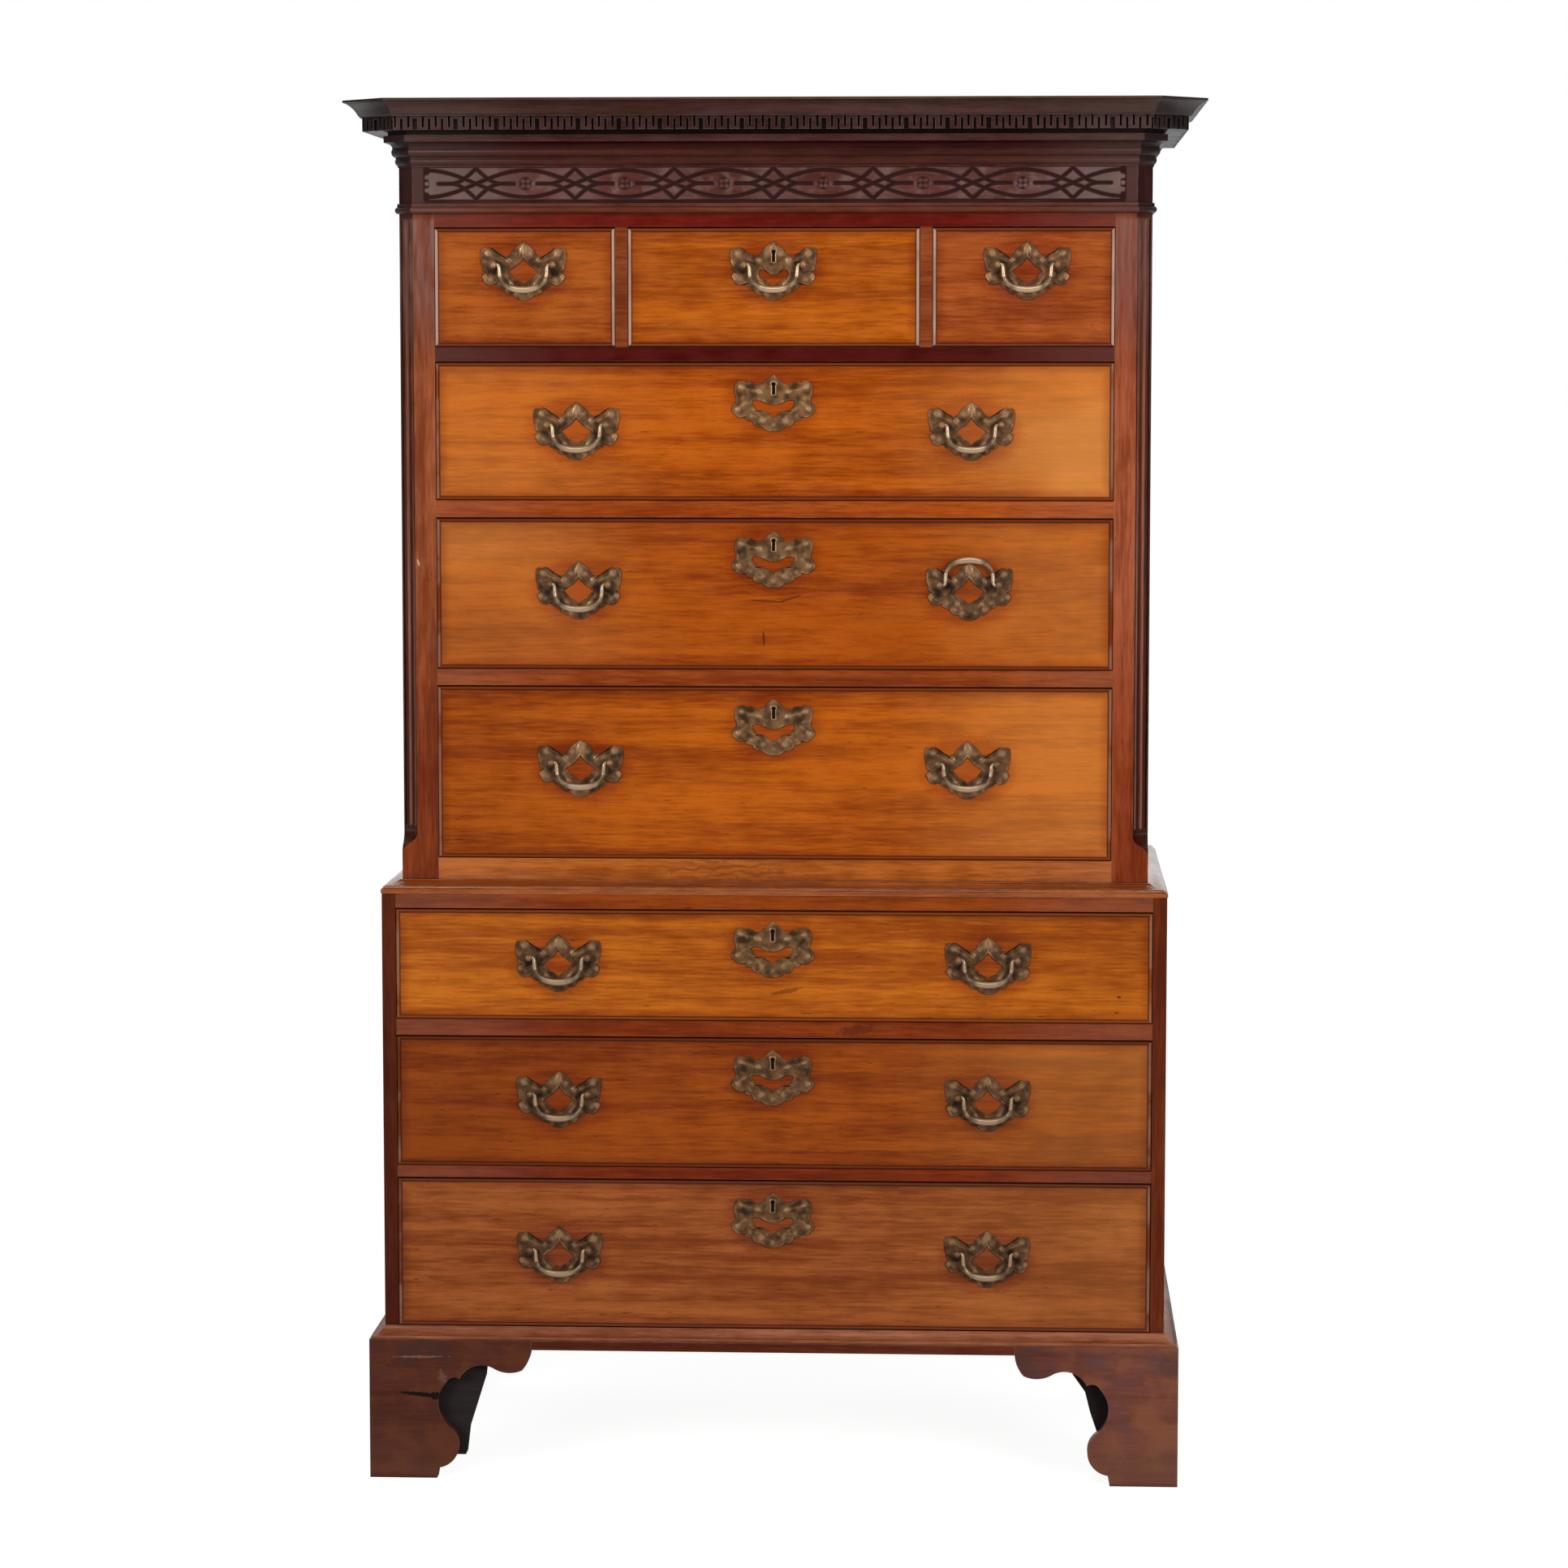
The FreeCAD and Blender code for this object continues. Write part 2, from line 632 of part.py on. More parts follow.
def feet_and_rails():
    """Left half of the base boards: foot boards mitred at the corner, rails between the feet."""
    front_stock = foot_face(lambda u, z: Vector(-BASE_HALF + u, LOWER_FRONT - BASE_OUT, z))
    front_foot = front_stock.extrude(Vector(0, BASE_OUT, 0))
    side_stock = foot_face(lambda u, z: Vector(-BASE_HALF, LOWER_FRONT - BASE_OUT + u, z))
    side_foot = side_stock.extrude(Vector(BASE_OUT, 0, 0))
    rear_stock = foot_face(lambda u, z: Vector(-BASE_HALF, BACK - u, z))
    rear_foot = rear_stock.extrude(Vector(BASE_OUT, 0, 0))
    outer = (-BASE_HALF, LOWER_FRONT - BASE_OUT)
    inner = (-LOWER_HALF, LOWER_FRONT)
    tall = Vector(0, 0, BASE_MOULD_BOTTOM + 2 * WOOD_END)
    front_half = face(plan(-WOOD_END), outer, [(-LOWER_HALF, outer[1]), inner]).extrude(tall)
    side_half = face(plan(-WOOD_END), outer, [inner, (-BASE_HALF, LOWER_FRONT)]).extrude(tall)
    front_foot = front_foot.cut(side_half)
    side_foot = side_foot.cut(front_half)
    side_rail = box(
        -BASE_HALF, -LOWER_HALF, LOWER_FRONT - BASE_OUT + FOOT_LENGTH, BACK - FOOT_LENGTH,
        RAIL_BOTTOM, BASE_MOULD_BOTTOM,
    )
    return [front_foot, side_foot, rear_foot], side_rail


def front_base_rail():
    """Base board between the two front feet."""
    half = BASE_HALF - FOOT_LENGTH
    return box(-half, half, LOWER_FRONT - BASE_OUT, LOWER_FRONT, RAIL_BOTTOM, BASE_MOULD_BOTTOM)


# free edges of the rough boards behind the front feet: (distance from the outer corner, height)
LEFT_BACKING = [(127.0, 28.0), (131.0, 63.0), (153.0, 133.0), (158.0, RAIL_BOTTOM)]
RIGHT_BACKING = [(104.0, 60.0), (116.0, 95.0), (123.0, 123.0), (140.0, 147.0), (146.0, RAIL_BOTTOM)]


def backing_board(edge):
    """Backing board of a left front foot with this free edge."""
    inner = BASE_OUT + BLOCK_THICK
    moves = edge + [(inner, RAIL_BOTTOM)]
    outline = face(lambda u, z: Vector(-BASE_HALF + u, LOWER_FRONT, z), (inner, edge[0][1]), moves)
    return outline.extrude(Vector(0, BLOCK_THICK, 0))


def foot_blocks():
    """Left half of the rough work behind the feet: corner blocks and rear foot boards."""
    block_end = -LOWER_HALF + BLOCK_THICK
    corner = box(
        -LOWER_HALF, block_end, LOWER_FRONT, LOWER_FRONT + 3 * BLOCK_THICK,
        BLOCK_BOTTOM, RAIL_BOTTOM,
    )
    rear_block = box(
        -LOWER_HALF, block_end, BACK - 4 * BLOCK_THICK, BACK - REAR_BOARD_THICK,
        BLOCK_BOTTOM, RAIL_BOTTOM,
    )
    rear_moves = [(75.0, 0.0), (88.0, 30.0), (140.0, 150.0), (147.0, RAIL_BOTTOM), (BASE_OUT, RAIL_BOTTOM)]
    rear_face = face(
        lambda u, z: Vector(-BASE_HALF + u, BACK - REAR_BOARD_THICK, z), (BASE_OUT, 0.0), rear_moves
    )
    rear_board = rear_face.extrude(Vector(0, REAR_BOARD_THICK, 0))
    return [corner, rear_block, rear_board]


# ---- brasses -----------------------------------------------------------------
KEYHOLE_HEAD = 2.8           # radius of the round head
KEYHOLE_SLOT = 3.8           # width of the slot under it
KEYHOLE_HEIGHT = 16.0


def spline_edges(groups, place):
    """Edges through groups of (x, z) points, a smooth curve through each group."""
    edges = []
    for group in groups:
        points = [place(x, z) for x, z in group]
        if len(points) == 2:
            edges.append(Part.LineSegment(points[0], points[1]).toShape())
        else:
            curve = Part.BSplineCurve()
            curve.interpolate(points)
            edges.append(curve.toShape())
    return edges


def symmetric_plate(groups, xc, zc, y):
    """Flat plate whose right half outline runs from its top point to its bottom point."""
    right = spline_edges(groups, lambda x, z: Vector(xc + x, y, zc + z))
    left = spline_edges([group[::-1] for group in groups[::-1]], lambda x, z: Vector(xc - x, y, zc + z))
    return Part.Face(Part.Wire(right + left)).extrude(Vector(0, -PLATE_THICK, 0))


# right half outlines, cusp to cusp, from the top point down to the bottom point
PLATE_OUTLINE = [
    [(0.0, 30.5), (5.0, 27.0), (10.5, 22.5), (15.5, 17.0)],
    [(15.5, 17.0), (19.0, 12.5), (25.0, 11.5), (30.0, 14.0)],
    [(30.0, 14.0), (35.0, 16.0), (39.0, 19.5)],
    [(39.0, 19.5), (44.0, 22.5), (49.0, 21.0)],
    [(49.0, 21.0), (52.5, 22.0), (56.0, 20.0)],
    [(56.0, 20.0), (57.0, 9.0), (54.5, -2.0)],
    [(54.5, -2.0), (54.0, -7.0), (49.0, -9.5)],
    [(49.0, -9.5), (55.0, -14.0), (53.0, -20.0)],
    [(53.0, -20.0), (47.0, -26.5), (37.0, -25.0)],
    [(37.0, -25.0), (33.0, -30.0), (26.0, -32.0)],
    [(26.0, -32.0), (22.5, -38.0), (14.5, -39.5)],
    [(14.5, -39.5), (9.0, -44.5), (0.0, -46.5)],
]
PLATE_OPENING = [
    [(0.0, 9.0), (4.0, 3.5), (9.0, -1.5)],
    [(9.0, -1.5), (14.0, -4.5), (20.0, -9.0)],
    [(20.0, -9.0), (15.5, -13.0), (12.0, -18.5)],
    [(12.0, -18.5), (6.0, -21.0), (0.0, -26.0)],
]
LOCK_PLATE_OPENING = [
    [(0.0, -13.5), (4.5, -12.8), (9.0, -8.7)],
    [(9.0, -8.7), (14.0, -6.5), (18.5, -8.5)],
    [(18.5, -8.5), (19.0, -13.0), (15.5, -19.0)],
    [(15.5, -19.0), (10.0, -20.5), (7.0, -24.0)],
    [(7.0, -24.0), (3.5, -25.0), (0.0, -28.0)],
]
# the escutcheon is drawn from the middle of its keyhole
ESCUTCHEON_OUTLINE = [
    [(0.0, 18.5), (5.0, 14.5), (10.0, 10.5), (14.0, 6.5)],
    [(14.0, 6.5), (19.0, 4.5), (25.0, 5.5)],
    [(25.0, 5.5), (30.0, 8.5), (36.0, 7.5)],
    [(36.0, 7.5), (43.0, 10.0), (50.0, 6.0)],
    [(50.0, 6.0), (52.0, -3.0), (50.0, -12.0)],
    [(50.0, -12.0), (49.5, -17.0), (53.0, -21.5)],
    [(53.0, -21.5), (55.5, -28.0), (51.0, -34.0)],
    [(51.0, -34.0), (45.0, -38.5), (38.0, -37.5)],
    [(38.0, -37.5), (35.0, -41.5), (28.0, -43.0)],
    [(28.0, -43.0), (24.0, -49.5), (15.5, -50.5)],
    [(15.5, -50.5), (9.0, -55.5), (0.0, -56.5)],
]
ESCUTCHEON_OPENING = [
    [(0.0, -22.0), (7.0, -21.3), (15.0, -17.6), (28.0, -17.0)],
    [(28.0, -17.0), (25.0, -24.5), (19.5, -30.0)],
    [(19.5, -30.0), (12.5, -29.5), (8.0, -33.0)],
    [(8.0, -33.0), (3.5, -35.0), (0.0, -39.5)],
]
HANDLE_KEYHOLE_UP = 11.5     # middle of the keyhole above the post line on a handle plate
LOCK_WIDTH = 58.0
LOCK_HEIGHT = 40.0
LOCK_DEPTH = 11.0
LOCK_PROUD = 1.0             # the case stands this far out of the back of the front
LOCK_BACK = 2.0              # metal left behind the keyhole, from the back of the front


def keyhole(xc, z_middle, y0, y1):
    """Cutter for a keyhole: round head above a slot."""
    head_z = z_middle + KEYHOLE_HEIGHT / 2 - KEYHOLE_HEAD
    foot_z = z_middle - KEYHOLE_HEIGHT / 2
    head = Part.makeCylinder(KEYHOLE_HEAD, y1 - y0, Vector(xc, y0, head_z), Vector(0, 1, 0))
    slot = box(xc - KEYHOLE_SLOT / 2, xc + KEYHOLE_SLOT / 2, y0, y1, foot_z, head_z)
    return head.fuse(slot)


def handle_plate(xc, zc, y, with_keyhole):
    """Pierced back plate of a bail handle."""
    plate = symmetric_plate(PLATE_OUTLINE, xc, zc, y)
    opening = symmetric_plate(LOCK_PLATE_OPENING if with_keyhole else PLATE_OPENING, xc, zc, y)
    plate = plate.cut(opening)
    if with_keyhole:
        plate = plate.cut(keyhole(xc, zc + HANDLE_KEYHOLE_UP, y - PLATE_THICK - WOOD_END, y + WOOD_END))
    shanks = [shank(xc + side * POST_SPACING, zc, y) for side in (1, -1)]
    return plate.cut(shanks)


def escutcheon(xc, z_middle, y):
    """Pierced plate round a keyhole."""
    plate = symmetric_plate(ESCUTCHEON_OUTLINE, xc, z_middle, y)
    plate = plate.cut(symmetric_plate(ESCUTCHEON_OPENING, xc, z_middle, y))
    return plate.cut(keyhole(xc, z_middle, y - PLATE_THICK - WOOD_END, y + WOOD_END))


def shank(x, z, y):
    """Bolt of a post: from inside the ball, through plate and drawer front, to past the nut."""
    length = PIVOT_OUT + FRONT_THICK + NUT_THICK + SHANK_PAST_NUT
    return Part.makeCylinder(SHANK_RADIUS, length, Vector(x, y - PIVOT_OUT, z), Vector(0, 1, 0))


def handle_post(xc, side, z, y):
    """Ball-headed post, bored from its inner side for the end of the bail."""
    x = xc + side * POST_SPACING
    ball = Part.makeSphere(BALL_RADIUS, Vector(x, y - PIVOT_OUT, z))
    collar_from = Vector(x, y - PLATE_THICK - COLLAR_LENGTH, z)
    collar = Part.makeCylinder(COLLAR_RADIUS, COLLAR_LENGTH, collar_from, Vector(0, 1, 0))
    post = ball.fuse([collar, shank(x, z, y)])
    flat = xc + side * BALL_FLAT
    past = 2 * BALL_RADIUS
    beyond = flat - side * past
    left = min(flat, beyond)
    right = max(flat, beyond)
    post = post.cut(box(left, right, y - PIVOT_OUT - past, y - PLATE_THICK, z - past, z + past))
    bore_from = Vector(flat - side * WOOD_END, y - PIVOT_OUT, z)
    bore_length = PIN_END + PIN_END_GAP - BALL_FLAT + WOOD_END
    bore = Part.makeCylinder(PIN_HOLE_RADIUS, bore_length, bore_from, Vector(side, 0, 0))
    return post.cut(bore)


def nut(x, z, y):
    """Square nut on the back of the drawer front."""
    half = NUT_WIDTH / 2
    back = y + FRONT_THICK
    body = box(x - half, x + half, back, back + NUT_THICK, z - half, z + half)
    return body.cut(shank(x, z, y))


def lock(xc, z_middle, y):
    """Lock case let into the back of the drawer front, with its keyhole."""
    back = y + FRONT_THICK
    case = box(
        xc - LOCK_WIDTH / 2, xc + LOCK_WIDTH / 2, back - LOCK_DEPTH, back + LOCK_PROUD,
        z_middle - LOCK_HEIGHT / 2, z_middle + LOCK_HEIGHT / 2,
    )
    return case.cut(keyhole(xc, z_middle, y, back - LOCK_BACK))


def bail():
    """Swan-neck bail hanging down, centred on its pivot line: pins, necks and a thick belly."""
    stations = [
        (34.5, 0.0, 2.0),
        (33.2, -0.5, 2.1),
        (32.0, -2.2, 2.3),
        (31.4, -6.0, 2.5),
        (31.0, -12.0, 2.6),
        (29.6, -18.5, 2.8),
        (25.6, -24.8, 3.1),
        (18.5, -29.6, 3.6),
        (9.5, -32.2, 4.1),
    ]
    half = [(x, z, r) for x, z, r in stations]
    whole = half + [(0.0, -BAIL_DROP, 4.3)] + [(-x, z, r) for x, z, r in half[::-1]]
    wires = []
    last = len(whole) - 1
    for i, (x, z, radius) in enumerate(whole):
        if i in (0, last):
            direction = Vector(-1, 0, 0)
        else:
            before = whole[i - 1]
            after = whole[i + 1]
            direction = Vector(after[0] - before[0], 0, after[1] - before[1])
        wires.append(Part.Wire(Part.Circle(Vector(x, 0, z), direction, radius).toShape()))
    bow_part = Part.makeLoft(wires, True, False)
    pin_length = PIN_END - stations[0][0]
    right_pin = Part.makeCylinder(PIN_RADIUS, pin_length, Vector(stations[0][0], 0, 0), Vector(1, 0, 0))
    left_pin = Part.makeCylinder(PIN_RADIUS, pin_length, Vector(-stations[0][0], 0, 0), Vector(-1, 0, 0))
    return bow_part.fuse([right_pin, left_pin])


BAIL = bail()


def placed_bail(xc, zc, y, raised):
    """A bail in its two posts, hanging, or turned up against its plate."""
    shape = BAIL.copy()
    if raised:
        shape.rotate(Vector(0, 0, 0), Vector(-1, 0, 0), RAISED_ANGLE)
    shape.translate(Vector(xc, y - PIVOT_OUT, zc))
    return shape


# ---- drawers -----------------------------------------------------------------
TAIL_ROOT = 20.0
TAIL_FLARE = 4.5


def tail_centres(z0, z1):
    """Heights of the dovetails along a drawer side."""
    count = max(2, round((z1 - z0) / TAIL_PITCH))
    pitch = (z1 - z0) / count
    return [z0 + (i + 0.5) * pitch for i in range(count)]


def tails(x0, x1, y_root, y_tip, z0, z1):
    """Dovetails on the end of a drawer side, wider at the tip than at the root."""
    shapes = []
    for centre in tail_centres(z0, z1):
        root = TAIL_ROOT / 2
        tip = root + TAIL_FLARE
        moves = [(y_tip, centre - tip), (y_tip, centre + tip), (y_root, centre + root)]
        shapes.append(face(side_view(x0), (y_root, centre - root), moves).extrude(Vector(x1 - x0, 0, 0)))
    return shapes


def cockbeads(x0, x1, z0, z1, y):
    """Four mitred strips let into the edges of a drawer front, with a rounded nose."""
    thick = COCKBEAD_THICK
    tip = y - COCKBEAD_PROUD
    shoulder = tip + thick / 2
    root = y + COCKBEAD_DEPTH
    outer = [(x0, z0), (x1, z0), (x1, z1), (x0, z1)]
    low = (x0 + thick, z0 + thick)
    high = (x1 - thick, z1 - thick)
    inner = [low, (high[0], low[1]), high, (low[0], high[1])]
    inward = [(0, 1), (-1, 0), (0, -1), (1, 0)]
    strips = []
    for i in range(4):
        following = (i + 1) % 4
        a = outer[i]
        b = outer[following]
        mitred = face(elevation(tip - WOOD_END), a, [b, inner[following], inner[i]])
        clip = mitred.extrude(Vector(0, root - tip + 2 * WOOD_END, 0))
        across = Vector(inward[i][0], 0, inward[i][1])
        origin = Vector(a[0], 0, a[1])
        moves = [(0.0, shoulder), ((thick / 2, tip), (thick, shoulder)), (thick, root)]
        profile = face(lambda u, v: origin + across * u + Vector(0, v, 0), (0.0, root), moves)
        stock = profile.extrude(Vector(b[0] - a[0], 0, b[1] - a[1]))
        strips.append(stock.common(clip))
    return strips


def drawer(name, opening, y, length, handles, keyhole_height, raised=()):
    """One drawer: front with cockbeads, dovetailed oak box, brasses and bails.

    opening is (left, right, bottom, top); handles lists the centre (x, z) of each handle;
    keyhole_height is None on a drawer without a lock; raised lists the handles that are
    turned up.  A lock shares the plate of the handle when there is only one handle.
    """
    x0 = opening[0] + SIDE_GAP
    x1 = opening[1] - SIDE_GAP
    z0 = opening[2] + BOTTOM_GAP
    z1 = opening[3] - TOP_GAP
    xc = (x0 + x1) / 2
    back_of_front = y + FRONT_THICK
    rear = y + length

    bottom_z = z0 + RUNNER_HEIGHT
    floor_z = bottom_z + DRAWER_BOTTOM_THICK
    side_top = z1 - SIDE_DROP
    back_top = z1 - BACK_DROP
    left_side = box(x0, x0 + LINING_THICK, back_of_front, rear - LINING_THICK, z0, side_top)
    left_side = left_side.fuse(
        tails(x0, x0 + LINING_THICK, back_of_front, y + FRONT_THICK - TAIL_LAP, z0, side_top)
        + tails(x0, x0 + LINING_THICK, rear - LINING_THICK, rear, floor_z, back_top)
    )
    right_side = left_side.mirror(Vector(xc, 0, 0), Vector(1, 0, 0))
    back = box(x0, x1, rear - LINING_THICK, rear, floor_z, back_top).cut([left_side, right_side])
    bottom = box(x0 + LINING_THICK, x1 - LINING_THICK, back_of_front, rear, bottom_z, floor_z)
    runner_x = x0 + LINING_THICK
    left_runner = box(runner_x, runner_x + RUNNER_WIDTH, back_of_front, rear - RUNNER_SHORT, z0, bottom_z)
    right_runner = left_runner.mirror(Vector(xc, 0, 0), Vector(1, 0, 0))
    write(name + "_box", [left_side, right_side, back, bottom, left_runner, right_runner])

    inset = COCKBEAD_THICK
    panel = box(x0, x1, y + COCKBEAD_DEPTH, back_of_front, z0, z1)
    panel = panel.fuse(box(x0 + inset, x1 - inset, y, y + COCKBEAD_DEPTH, z0 + inset, z1 - inset))
    cutters = [left_side, right_side]
    brasses = []
    for hx, hz in handles:
        on_plate = keyhole_height is not None and len(handles) == 1
        brasses.append(handle_plate(hx, hz, y, on_plate))
        for side in (1, -1):
            px = hx + side * POST_SPACING
            brasses.append(handle_post(hx, side, hz, y))
            brasses.append(nut(px, hz, y))
            cutters.append(shank(px, hz, y))
    if keyhole_height is not None:
        body = lock(xc, keyhole_height, y)
        brasses.append(body)
        if len(handles) > 1:
            brasses.append(escutcheon(xc, keyhole_height, y))
        cutters.append(body)
        cutters.append(keyhole(xc, keyhole_height, y - WOOD_END, back_of_front))
    front = panel.cut(cutters)
    write(name + "_front", [front] + cockbeads(x0, x1, z0, z1, y))
    write(name + "_brass", brasses)

    labels = ["bail"] if len(handles) == 1 else ["left_bail", "right_bail"]
    for label, (hx, hz) in zip(labels, handles):
        write(name + "_" + label, [placed_bail(hx, hz, y, label in raised)])


# heights of the brasses of each row: post line and middle of the keyhole
SHORT_HANDLE_Z = 1616.0
SHORT_HANDLE_X = (-329.0, 332.0)
UPPER_HANDLE_Z = [960.0, 1196.5, 1406.5]
UPPER_KEYHOLE_Z = [1027.0, 1249.0, 1454.5]
UPPER_HANDLE_X = [256.5, 258.0, 260.0]
LOWER_HANDLE_Z = [309.5, 519.5, 702.5]
LOWER_KEYHOLE_Z = [370.0, 562.0, 733.5]
LOWER_HANDLE_X = 285.0


def all_drawers():
    """Three short and three long drawers above, three long drawers below."""
    half = UPPER_OPENING_HALF
    bottom, top = SHORT_ROW
    length = UPPER_DRAWER_LENGTH
    left = (-half, -DIVIDER_OUTER, bottom, top)
    middle = (-DIVIDER_INNER, DIVIDER_INNER, bottom, top)
    right = (DIVIDER_OUTER, half, bottom, top)
    key_z = SHORT_HANDLE_Z + HANDLE_KEYHOLE_UP
    drawer("short_drawer_left", left, FRONT, length, [(SHORT_HANDLE_X[0], SHORT_HANDLE_Z)], None)
    drawer("short_drawer_middle", middle, FRONT, length, [(0.0, SHORT_HANDLE_Z)], key_z)
    drawer("short_drawer_right", right, FRONT, length, [(SHORT_HANDLE_X[1], SHORT_HANDLE_Z)], None)
    for i, (z0, z1) in enumerate(UPPER_ROWS):
        hx = UPPER_HANDLE_X[i]
        handles = [(-hx, UPPER_HANDLE_Z[i]), (hx, UPPER_HANDLE_Z[i])]
        raised = ("right_bail",) if i == 1 else ()
        opening = (-half, half, z0, z1)
        drawer("upper_drawer_%d" % (3 - i), opening, FRONT, length, handles, UPPER_KEYHOLE_Z[i], raised)
    half = LOWER_OPENING_HALF
    length = LOWER_DRAWER_LENGTH
    for i, (z0, z1) in enumerate(LOWER_ROWS):
        handles = [(-LOWER_HANDLE_X, LOWER_HANDLE_Z[i]), (LOWER_HANDLE_X, LOWER_HANDLE_Z[i])]
        opening = (-half, half, z0, z1)
        drawer("lower_drawer_%d" % (3 - i), opening, LOWER_FRONT, length, handles, LOWER_KEYHOLE_Z[i])


def main():
    """Build and write every node."""
    write("crown_moulding", crown())
    write("key_dentil", key_band())
    write("frieze_mouldings", frieze_mouldings())
    write("frieze", frieze())
    write("frieze_fret", fret())
    write("corner_posts", both_sides([corner_post()]))
    upper_side = rebated_side(UPPER_HALF, UPPER_SIDE_THICK, FRONT + POST_DEPTH, UPPER_BOTTOM, BED_TOP)
    write("upper_sides", both_sides([upper_side]))
    write("upper_back", back_boards(UPPER_INNER_HALF + BACK_REBATE, UPPER_BOTTOM, BED_TOP))
    write("upper_rails", upper_rails())
    write("upper_inner_boards", upper_inner_boards() + cornice_frame())

    lower_thick = LOWER_HALF - LOWER_OPENING_HALF
    lower_side = rebated_side(LOWER_HALF, lower_thick, LOWER_FRONT, RAIL_BOTTOM, WAIST_BOTTOM)
    write("lower_sides", both_sides([lower_side]))
    write("lower_back", back_boards(LOWER_OPENING_HALF + BACK_REBATE, RAIL_BOTTOM, WAIST_BOTTOM))
    write("lower_rails", lower_rails())
    write("lower_inner_boards", lower_inner_boards())
    write("waist_moulding", waist_moulding())
    boards, side_rail = feet_and_rails()
    write("base_moulding", base_moulding() + [front_base_rail()] + both_sides([side_rail]))
    write("bracket_feet", both_sides(boards))
    backings = [backing_board(LEFT_BACKING), mirrored(backing_board(RIGHT_BACKING))]
    write("foot_blocks", both_sides(foot_blocks()) + backings)
    all_drawers()


main()
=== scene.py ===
# %% [markdown]
# # A mahogany chest on chest
# Two cases stand one on the other: six drawers above, three below, a cornice with a Greek key
# on top and bracket feet underneath.  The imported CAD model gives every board, drawer and
# moulding its place.  This notebook dresses that model: it makes the cast brasses, the bails
# and the sawn fret as fine surfaces, and gives every board the finish that old polished
# mahogany, oak or pine has.

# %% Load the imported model
import json
import math

import bpy
import bmesh
import numpy as np
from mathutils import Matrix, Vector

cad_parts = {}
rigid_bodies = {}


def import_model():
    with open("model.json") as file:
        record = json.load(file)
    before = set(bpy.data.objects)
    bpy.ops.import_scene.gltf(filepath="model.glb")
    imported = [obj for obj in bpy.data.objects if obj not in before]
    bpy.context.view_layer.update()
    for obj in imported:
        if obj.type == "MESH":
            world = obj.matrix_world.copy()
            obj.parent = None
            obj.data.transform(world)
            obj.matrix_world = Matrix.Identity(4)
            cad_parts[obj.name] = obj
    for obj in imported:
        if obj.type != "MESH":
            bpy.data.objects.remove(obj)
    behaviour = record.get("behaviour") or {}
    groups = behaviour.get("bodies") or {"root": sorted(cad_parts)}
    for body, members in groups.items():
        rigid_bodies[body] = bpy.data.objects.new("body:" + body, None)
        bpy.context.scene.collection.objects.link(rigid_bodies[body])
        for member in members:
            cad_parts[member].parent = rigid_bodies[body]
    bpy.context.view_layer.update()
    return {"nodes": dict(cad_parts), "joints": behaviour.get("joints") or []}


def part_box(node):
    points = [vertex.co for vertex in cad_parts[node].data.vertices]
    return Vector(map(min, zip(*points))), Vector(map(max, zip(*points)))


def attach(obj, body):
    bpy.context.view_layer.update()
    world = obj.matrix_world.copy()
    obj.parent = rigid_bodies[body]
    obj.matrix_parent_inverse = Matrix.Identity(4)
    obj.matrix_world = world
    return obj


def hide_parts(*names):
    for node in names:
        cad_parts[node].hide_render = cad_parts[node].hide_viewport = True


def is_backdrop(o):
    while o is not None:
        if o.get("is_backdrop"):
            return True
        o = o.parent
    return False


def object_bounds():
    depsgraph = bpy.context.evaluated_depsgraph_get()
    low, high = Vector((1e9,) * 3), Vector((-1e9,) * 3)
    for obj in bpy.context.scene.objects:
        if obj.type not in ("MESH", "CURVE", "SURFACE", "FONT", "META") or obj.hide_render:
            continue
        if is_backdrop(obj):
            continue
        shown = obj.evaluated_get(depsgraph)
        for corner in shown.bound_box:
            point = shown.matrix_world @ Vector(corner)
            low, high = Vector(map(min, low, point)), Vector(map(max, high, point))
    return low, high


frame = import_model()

nodes = frame["nodes"]
MM = 0.001

# %% [markdown]
# ## A bench for nodes
# A material is a tree of nodes.  Written out in full, each node takes several lines, so this
# bench adds one node per call and hands back its output.  It knows the arithmetic that every
# pattern below needs, and it serves a wood finish, the world and the floor alike.

